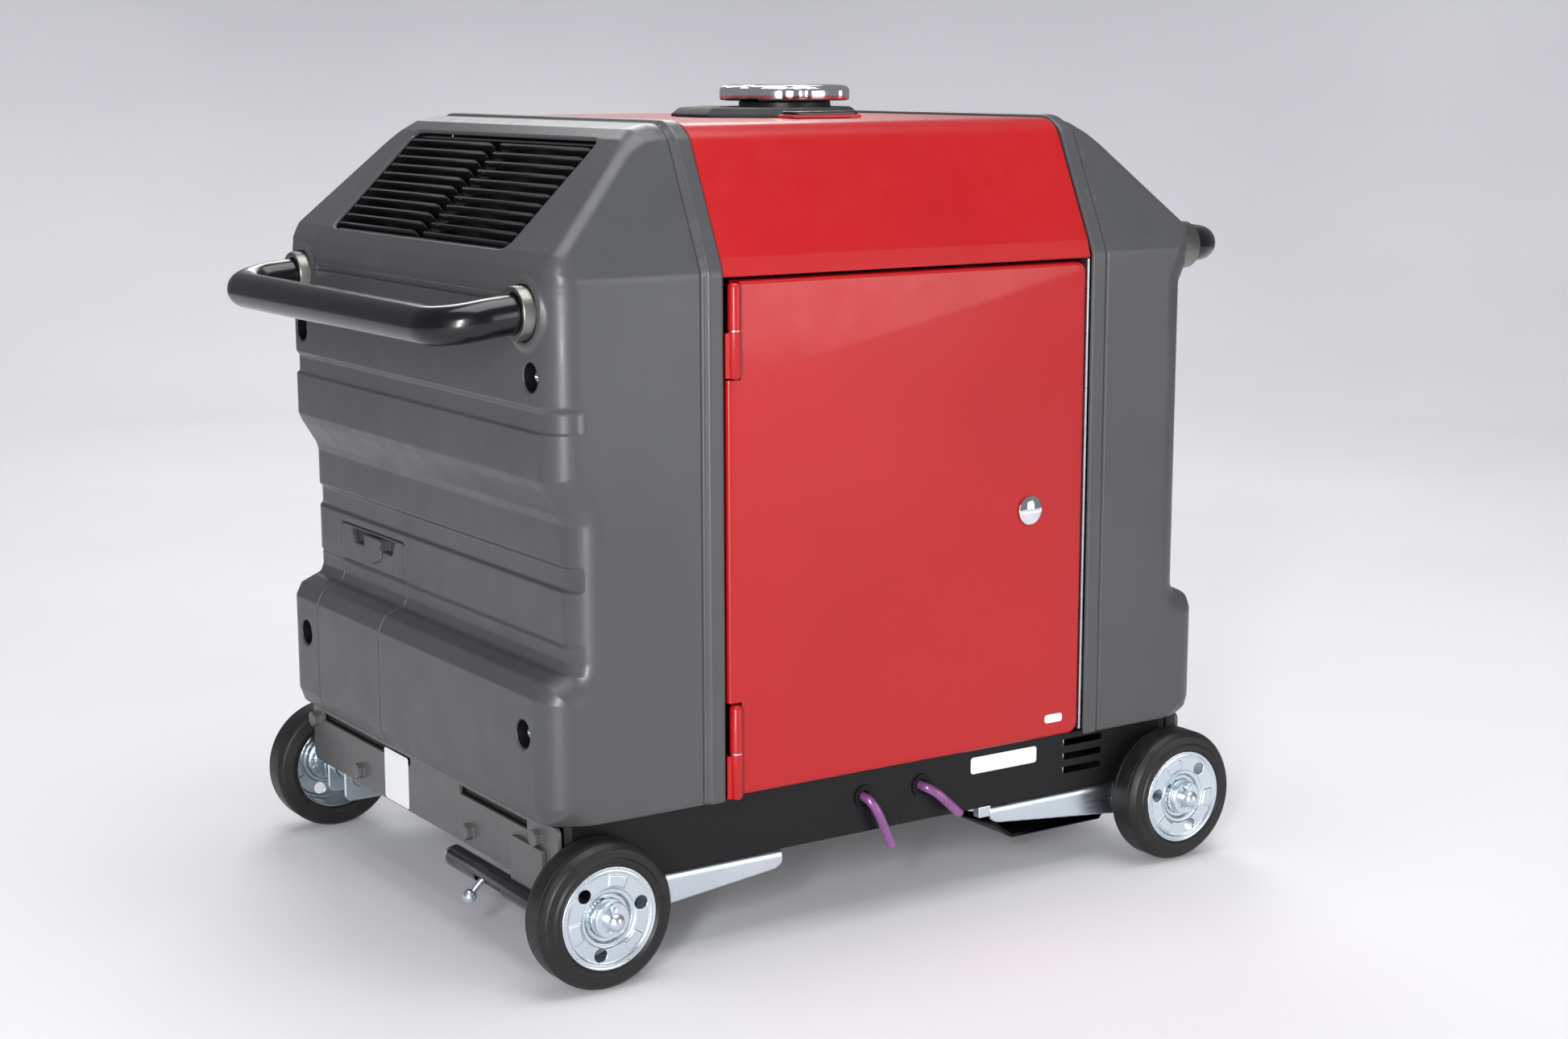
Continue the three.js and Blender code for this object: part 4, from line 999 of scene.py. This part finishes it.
def bracket_shape(x, y, z):
    """A channel bent along its top, that deepens towards the wheel, in the +X, +Y position."""
    outline = fillet([(90, 59.4), (90, 48.6), (96, 45.5), (215, 33), (225, 31), (254, 31), (258, 35),
                      (258, 59.4)], [1, 4, 5, 8, 8, 4, 3, 1], 4)
    folded = common(common(slab(y, 160, 194), z - 59.4, 6), outline_field(x, z, outline), 0.8)
    hollow = common(common(slab(y, 162.6, 191.4), z - 56.8, 3), slab(x, 60, 300), 0.1)
    hole = np.hypot(x - WHEEL_X, z - WHEEL_RADIUS) - 6.6 + 0 * y
    return less(less(folded, hollow, 0.8), hole, 0.6)


def wheel_brackets():
    bracket = skinned("wheel_bracket", bracket_shape, (82, 156, 26), (262, 198, 64), 1.2)
    for end, end_label in ((-1, "near"), (1, "far")):
        for side, side_label in SIDES:
            name = f"wheel_bracket_{end_label}_{side_label}"
            own = placed(bracket, Matrix.Diagonal((end, side, 1, 1)))
            piece(f"{name}_part", own, ZINC, stands_for=[name])
            if end > 0:
                span = sorted((side * 186, side * 193))
                tab = prism("tab", fillet(rectangle(80, 91, 51, 59.4), 1.5), "y", *span)
                softened(piece(f"{name}_tab", tab, ZINC), 0.8, 3)


wheel_brackets()


# ---------------------------------------------------------------- fuel cap and its surroundings
def fuel_cap():
    """A plated cap with eight lobes; its rim is rounded above and below."""
    lobes, count = 8, 8 * 24

    def loop(inset, height, scallop=1.0):
        ring = []
        for k in range(count):
            angle = 2 * math.pi * k / count
            wave = max(0.0, -math.cos(lobes * angle))
            radius = CAP_RADIUS - inset - 3.4 * scallop * wave ** 1.3
            ring.append((CAP_X + radius * math.cos(angle), radius * math.sin(angle), height))
        return ring

    under = [(20, 3, 0), (20, 0.4, 0), (22, 0, 0.1), (1.6, 0, 1), (0.5, 0.4, 1), (0, 1.6, 1)]
    above = [(0, 4.6, 1), (0.5, 2.9, 1), (1.8, 1.5, 1), (3.6, 0.8, 0.9), (6.0, 0.4, 0.6), (12, 0.1, 0.1),
             (24, 0, 0)]
    rim = [(inset, CAP_BOTTOM + rise, scallop) for inset, rise, scallop in under]
    rim += [(inset, CAP_TOP - drop, scallop) for inset, drop, scallop in above]
    mesh = shade(loft("fuel_cap_shell", [loop(*p) for p in rim]), 50)
    piece("fuel_cap_shell", mesh, CHROME, BODY_OF["fuel_cap"], ["fuel_cap"])


def cap_surroundings():
    collar = [(28.5, 530), (28.5, 559.2), (29.2, 560), (32.4, 560), (34, 559), (34, 530), (28.5, 530)]
    mesh = turned("filler_collar", collar, "z", (CAP_X, 0, 0), 64)
    piece("filler_collar", mesh, BLACK_PLASTIC)
    across = 62
    side = across * math.tan(math.pi / 8)
    outline = [(across, -side), (across, side), (side, across), (-side, across), (-across - 8, side),
               (-across - 8, -side), (-side, -across), (side, -across)]
    centre = 27

    def loop(inset, height):
        scale = 1 - inset / across
        return [(centre + u * scale, v * scale, height) for u, v in fillet(outline, 6, 4)]

    tray = [(0, 549.4), (0, 551.2), (1.2, 552.2), (4.5, 555.2), (6.5, 556), (27.4, 556), (27.4, 549.4)]
    mesh = shade(loft("cap_tray_rubber", [loop(*p) for p in tray]), 40)
    piece("cap_tray_rubber", mesh, RUBBER, stands_for=["cap_tray"])
    base = prism("gauge_frame", fillet(rectangle(-18, 40, -101, -77), 4), "z", 549.4, 551.6)
    softened(piece("gauge_frame", base, RED_PLASTIC, stands_for=["fuel_gauge"]), 0.6, 3)
    lens = prism("gauge_lens", fillet(rectangle(-15.5, 37.5, -98.5, -79.5), 3), "z", 551, 554)
    softened(piece("gauge_lens", lens, GLOSS_BLACK), 0.9, 3)


fuel_cap()
cap_surroundings()


# ---------------------------------------------------------------- wheel lock, hoses and labels
def wheel_lock():
    x, z = -268, 48
    guide = [(5.1, -186), (8, -186), (8, -52.8), (7.4, -52), (5.1, -52), (5.1, -186)]
    thing = piece("lock_guide_tube", turned("lock_guide_tube", guide, "y", (x, 0, z), 48), GLOSS_BLACK,
                  stands_for=["lock_guide"])
    carved(thing, [prism("slot", rectangle(-290, x, -134, -96), "z", 30, 48)])
    shade(thing.data, 40)
    tab = prism("guide_tab", fillet(rectangle(-182, -138, 52, 86), 3), "x", -269.4, -266)
    softened(piece("lock_guide_tab", tab, GREY_PAINT), 0.5)
    pin = [(0, -190), (4.7, -190), (4.7, -45), (3.6, -42.6), (2.6, -42), (0, -42)]
    body = BODY_OF["lock_pin"]
    bar = turned("lock_pin_bar", pin, "y", (x, 0, z), 40)
    piece("lock_pin_bar", bar, ZINC, body, ["lock_pin"])
    lean = Vector((-1, 0, -1)).normalized()
    root = Vector((x, -100, z))
    stem = tube("lock_stem", [root, root + lean * 8, root + lean * 15], 2.6, 24)
    piece("lock_pin_stem", stem, ZINC, body)
    ball = [(0, -5)] + [(5 * math.cos(a), 5 * math.sin(a)) for a in np.linspace(-1.4, 1.4, 13)] + [(0, 5)]
    knob = turned("lock_ball", ball, "z", tuple(root + lean * 19), 32)
    piece("lock_pin_ball", knob, ZINC, body)


def drain_hose(name, x, along, drop):
    stops = [(0, -188, 0), (0.01, -193, 0.01), (0.02, -198, 0.02), (0.09, -200.4, 0.06), (0.2, -202, 0.14),
             (0.32, -203.2, 0.25), (0.45, -204, 0.38), (0.58, -204.6, 0.53), (0.72, -205, 0.68),
             (0.86, -205.3, 0.84), (1, -205.5, 1)]
    path = [(x + a * along, y, 85.5 - d * drop) for a, y, d in stops]
    thing = piece(f"{name}_tube", tube(f"{name}_tube", path, 3.4, 24), HOSE_PLASTIC, stands_for=[name])
    end, before = Vector(path[-1]), Vector(path[-2])
    ahead = (end - before).normalized()
    bore = tube("bore", [end - ahead * 9, end + ahead * 4], 2.1, 16)
    carved(thing, [bore])
    shade(thing.data, 50)
    dimple = [(4.4, 0.2), (5.4, 0.2), (7.6, 1.4), (8.4, 1.4), (8.4, 0.0), (4.4, 0.0), (4.4, 0.2)]
    mesh = turned("dimple", [(r, -h) for r, h in dimple], "y", (x, -196, 85.5), 40)
    piece(f"{name}_grommet", mesh, BLACK_STEEL)


def label(name, outline, axis, low, high, body="body"):
    thing = piece(name, prism(name, fillet(outline, 2.5), axis, low, high), PAPER, body)
    softened(thing, 0.1, 2)


wheel_lock()
for hose in HOSES:
    drain_hose(*hose)
label("label_side", rectangle(69.5, 129.5, 86.3, 98.5), "y", -196.5, -196.1)
label("label_end", rectangle(27, 67, 60, 98), "x", -266.0, -265.6)
label("label_door", rectangle(124.5, 140.5, 119, 125.2), "y", -211.35, -211.0, BODY_OF["door_front"])


# ---------------------------------------------------------------- base and frame
dress("base_pan", BLACK_STEEL, 2.0)
dress("foot_rail", BLACK_STEEL, 1.5)
dress("frame_near", BLACK_STEEL, 0.5)
dress("frame_far", ZINC, 0.5)
dress("end_plate_near", GREY_PAINT, 0.6)
dress("end_plate_far", GREY_PAINT, 0.6)
dress("fuel_tank", BLACK_PLASTIC, 4)
dress("fuel_cap_seal", RUBBER, 0.5)
dress("engine_block", CAST, 1.0)
dress("alternator", CAST, 1.5)
dress("muffler", DULL_STEEL, 1.5)
dress("air_cleaner", BLACK_PLASTIC, 2.0)
dress("battery", BLACK_PLASTIC, 1.5)
dress("inverter_unit", CAST, 1.0)
dress("control_panel", BLACK_PLASTIC, 0.6)
dress("engine_key", ZINC, 0.4)
dress("eco_switch", BLACK_PLASTIC, 0.6)
dress("breaker_button", RED_PLASTIC, 0.6)


# ---------------------------------------------------------------- control panel at the far end
def round_part(name, outline, y, z, material, segments=40):
    """A turned part standing out of the panel; the outline is (radius, height off the face)."""
    mesh = turned(name, [(r, PANEL_FACE + h) for r, h in outline], "x", (0, y, z), segments)
    return piece(name, mesh, material)


def socket(name, y, z):
    face = [(0, 5.0), (14.6, 5.0), (14.6, 5.4), (13.6, 6.2), (0, 6.2)]
    thing = round_part(name, face, y, z, GLOSS_BLACK)
    low, high = PANEL_FACE + 4, PANEL_FACE + 8
    cutters = [prism("blade", rectangle(y - a - 1, y - a + 1, z - 4, z + 4), "x", low, high)
               for a in (-5.5, 5.5)]
    earth = fillet(rectangle(y - 2.4, y + 2.4, z - 11, z - 6.5), 2)
    carved(thing, cutters + [prism("earth", earth, "x", low, high)])
    shade(thing.data, 40)


def control_details():
    for i, (y, z) in enumerate([(y, z) for y in (-104, -42) for z in (258, 294)]):
        socket(f"socket_{i}", y, z)
    for i, y in enumerate((-104, -42)):
        outline = fillet(rectangle(y - 20, y + 20, 238, 314), 7)
        plate = prism("socket_plate", outline, "x", PANEL_FACE, PANEL_FACE + 0.8)
        softened(piece(f"socket_plate_{i}", plate, PANEL_GREY), 0.3, 2)
    face = [(0, 7.6), (17.5, 7.6), (17.5, 8.0), (16.5, 8.8), (0, 8.8)]
    locking = round_part("locking_socket", face, 34, 276, GLOSS_BLACK, 56)
    cutters = []
    for degrees in (90, 210, 330):
        at = math.radians(degrees)
        y, z = 34 + 9.5 * math.cos(at), 276 + 9.5 * math.sin(at)
        along, across = (-math.sin(at), math.cos(at)), (math.cos(at), math.sin(at))
        corners = [(y + a * along[0] + b * across[0], z + a * along[1] + b * across[1])
                   for a, b in ((-4.5, -1), (4.5, -1), (4.5, 1), (-4.5, 1))]
        cutters.append(prism("slot", corners, "x", PANEL_FACE + 6, PANEL_FACE + 11))
    carved(locking, cutters)
    shade(locking.data, 40)
    for i, z in enumerate((256, 296)):
        ring = [(7.6, 10), (7.6, 11), (8.6, 11), (9.0, 10.4), (9.0, 10), (7.6, 10)]
        round_part(f"breaker_ring_{i}", ring, 92, z, ZINC)
        cap = [(0, 10), (7.2, 10), (7.2, 11.6), (6.6, 12.4), (0, 12.6)]
        round_part(f"breaker_cap_{i}", cap, 92, z, RED_PLASTIC)
    hexagon = [(126 + 9.2 * math.cos(a), 244 + 9.2 * math.sin(a))
               for a in np.linspace(0, 2 * math.pi, 7)[:-1]]
    nut = prism("terminal_nut", hexagon, "x", PANEL_FACE + 4, PANEL_FACE + 9)
    softened(piece("terminal_nut", nut, ZINC), 0.4, 2)
    stud = [(0, 11.6), (4.4, 11.6), (4.4, 14), (3.6, 15), (0, 15)]
    round_part("terminal_stud", stud, 126, 244, ZINC)
    strip = prism("lamp_strip", fillet(rectangle(32, 116, 358, 386), 6), "x", PANEL_FACE, PANEL_FACE + 0.8)
    softened(piece("lamp_strip", strip, PANEL_GREY), 0.3, 2)
    for i, (y, material) in enumerate(((44, RED_PLASTIC), (74, LAMP_AMBER), (104, LAMP_GREEN))):
        lens = [(0, 2), (6.1, 2), (6.1, 2.6), (4.8, 3.8), (2.6, 4.5), (0, 4.7)]
        round_part(f"lamp_lens_{i}", lens, y, 372, material)
    collar = [(9.4, 0), (13, 0), (13, 1.6), (12, 2.6), (9.4, 2.6), (9.4, 0)]
    round_part("key_collar", collar, -108, 372, ZINC)
    guard = [(6.6, 0), (10, 0), (10, 2.6), (9, 3.4), (6.6, 3.4), (6.6, 0)]
    round_part("button_guard", guard, -16, 372, BLACK_PLASTIC)
    for i, (y, z) in enumerate([(y, z) for y in (-140, 140) for z in (232, 404)]):
        head = [(0, 0), (4.2, 0), (4.0, 1.4), (2.6, 2.4), (0, 2.7)]
        thing = round_part(f"panel_screw_{i}", head, y, z, ZINC, 24)
        cross = [prism("cross", rectangle(y - a, y + a, z - b, z + b), "x", PANEL_FACE + 1.4, PANEL_FACE + 6)
                 for a, b in ((2.4, 0.5), (0.5, 2.4))]
        carved(thing, cross)


control_details()


# ---------------------------------------------------------------- studio
def stage_object(name, profile, material):
    mesh = turned(name, [(r * 1000, h * 1000) for r, h in profile], "z", (0, 0, 0), 96)
    work = bmesh.new()
    work.from_mesh(mesh)
    bmesh.ops.delete(work, geom=[f for f in work.faces if len(f.verts) > 4], context="FACES_ONLY")
    bmesh.ops.recalc_face_normals(work, faces=work.faces)
    work.to_mesh(mesh)
    work.free()
    mesh.materials.append(material)
    thing = bpy.data.objects.new(name, mesh)
    bpy.context.collection.objects.link(thing)
    return thing


def studio():
    """A pale floor that curves up into a wall all round, with soft lamps above."""
    material = new_material("studio_paper", Roughness=0.75, Specular_IOR_Level=0.2,
                            Emission_Color=(0.93, 0.95, 1.0), Emission_Strength=0.06)
    recipe = Recipe(material)
    drift = recipe.ranged(recipe.noise(1.5, 3), 0, 1)
    recipe.colour(recipe.mixed(drift, (0.63, 0.63, 0.65), (0.67, 0.67, 0.69)))
    stage_object("studio_floor", [(0, 0), (2.6, 0)], material)
    bend = [(2.6 + 1.8 * math.sin(a), 1.8 - 1.8 * math.cos(a)) for a in np.linspace(0, math.pi / 2, 17)]
    wall = stage_object("studio_wall", bend + [(4.4, 3.6)], material)
    wall.visible_glossy = False
    world = bpy.data.worlds.new("studio_sky")
    bpy.context.scene.world = world
    world.use_nodes = True
    background = world.node_tree.nodes["Background"]
    background.inputs["Color"].default_value = (0.93, 0.95, 1.0, 1.0)
    background.inputs["Strength"].default_value = 0.24
    lamps = (("lamp_top", (0.1, -0.3, 2.9), 2.2, 2.2, 62), ("lamp_left", (-1.9, -2.1, 0.75), 0.28, 1.5, 75),
             ("lamp_right", (1.6, -2.9, 0.8), 1.4, 1.4, 24), ("lamp_back", (1.2, 2.6, 2.4), 1.6, 1.6, 44))
    for name, place, width, height, power in lamps:
        data = bpy.data.lights.new(name, "AREA")
        data.shape = "RECTANGLE"
        data.size, data.size_y = width, height
        data.energy = power
        lamp = bpy.data.objects.new(name, data)
        lamp.location = place
        lamp.rotation_euler = (Vector((0, 0, 0.3)) - Vector(place)).to_track_quat("-Z", "Y").to_euler()
        bpy.context.collection.objects.link(lamp)
    bpy.context.scene.view_settings.view_transform = "Standard"


studio()
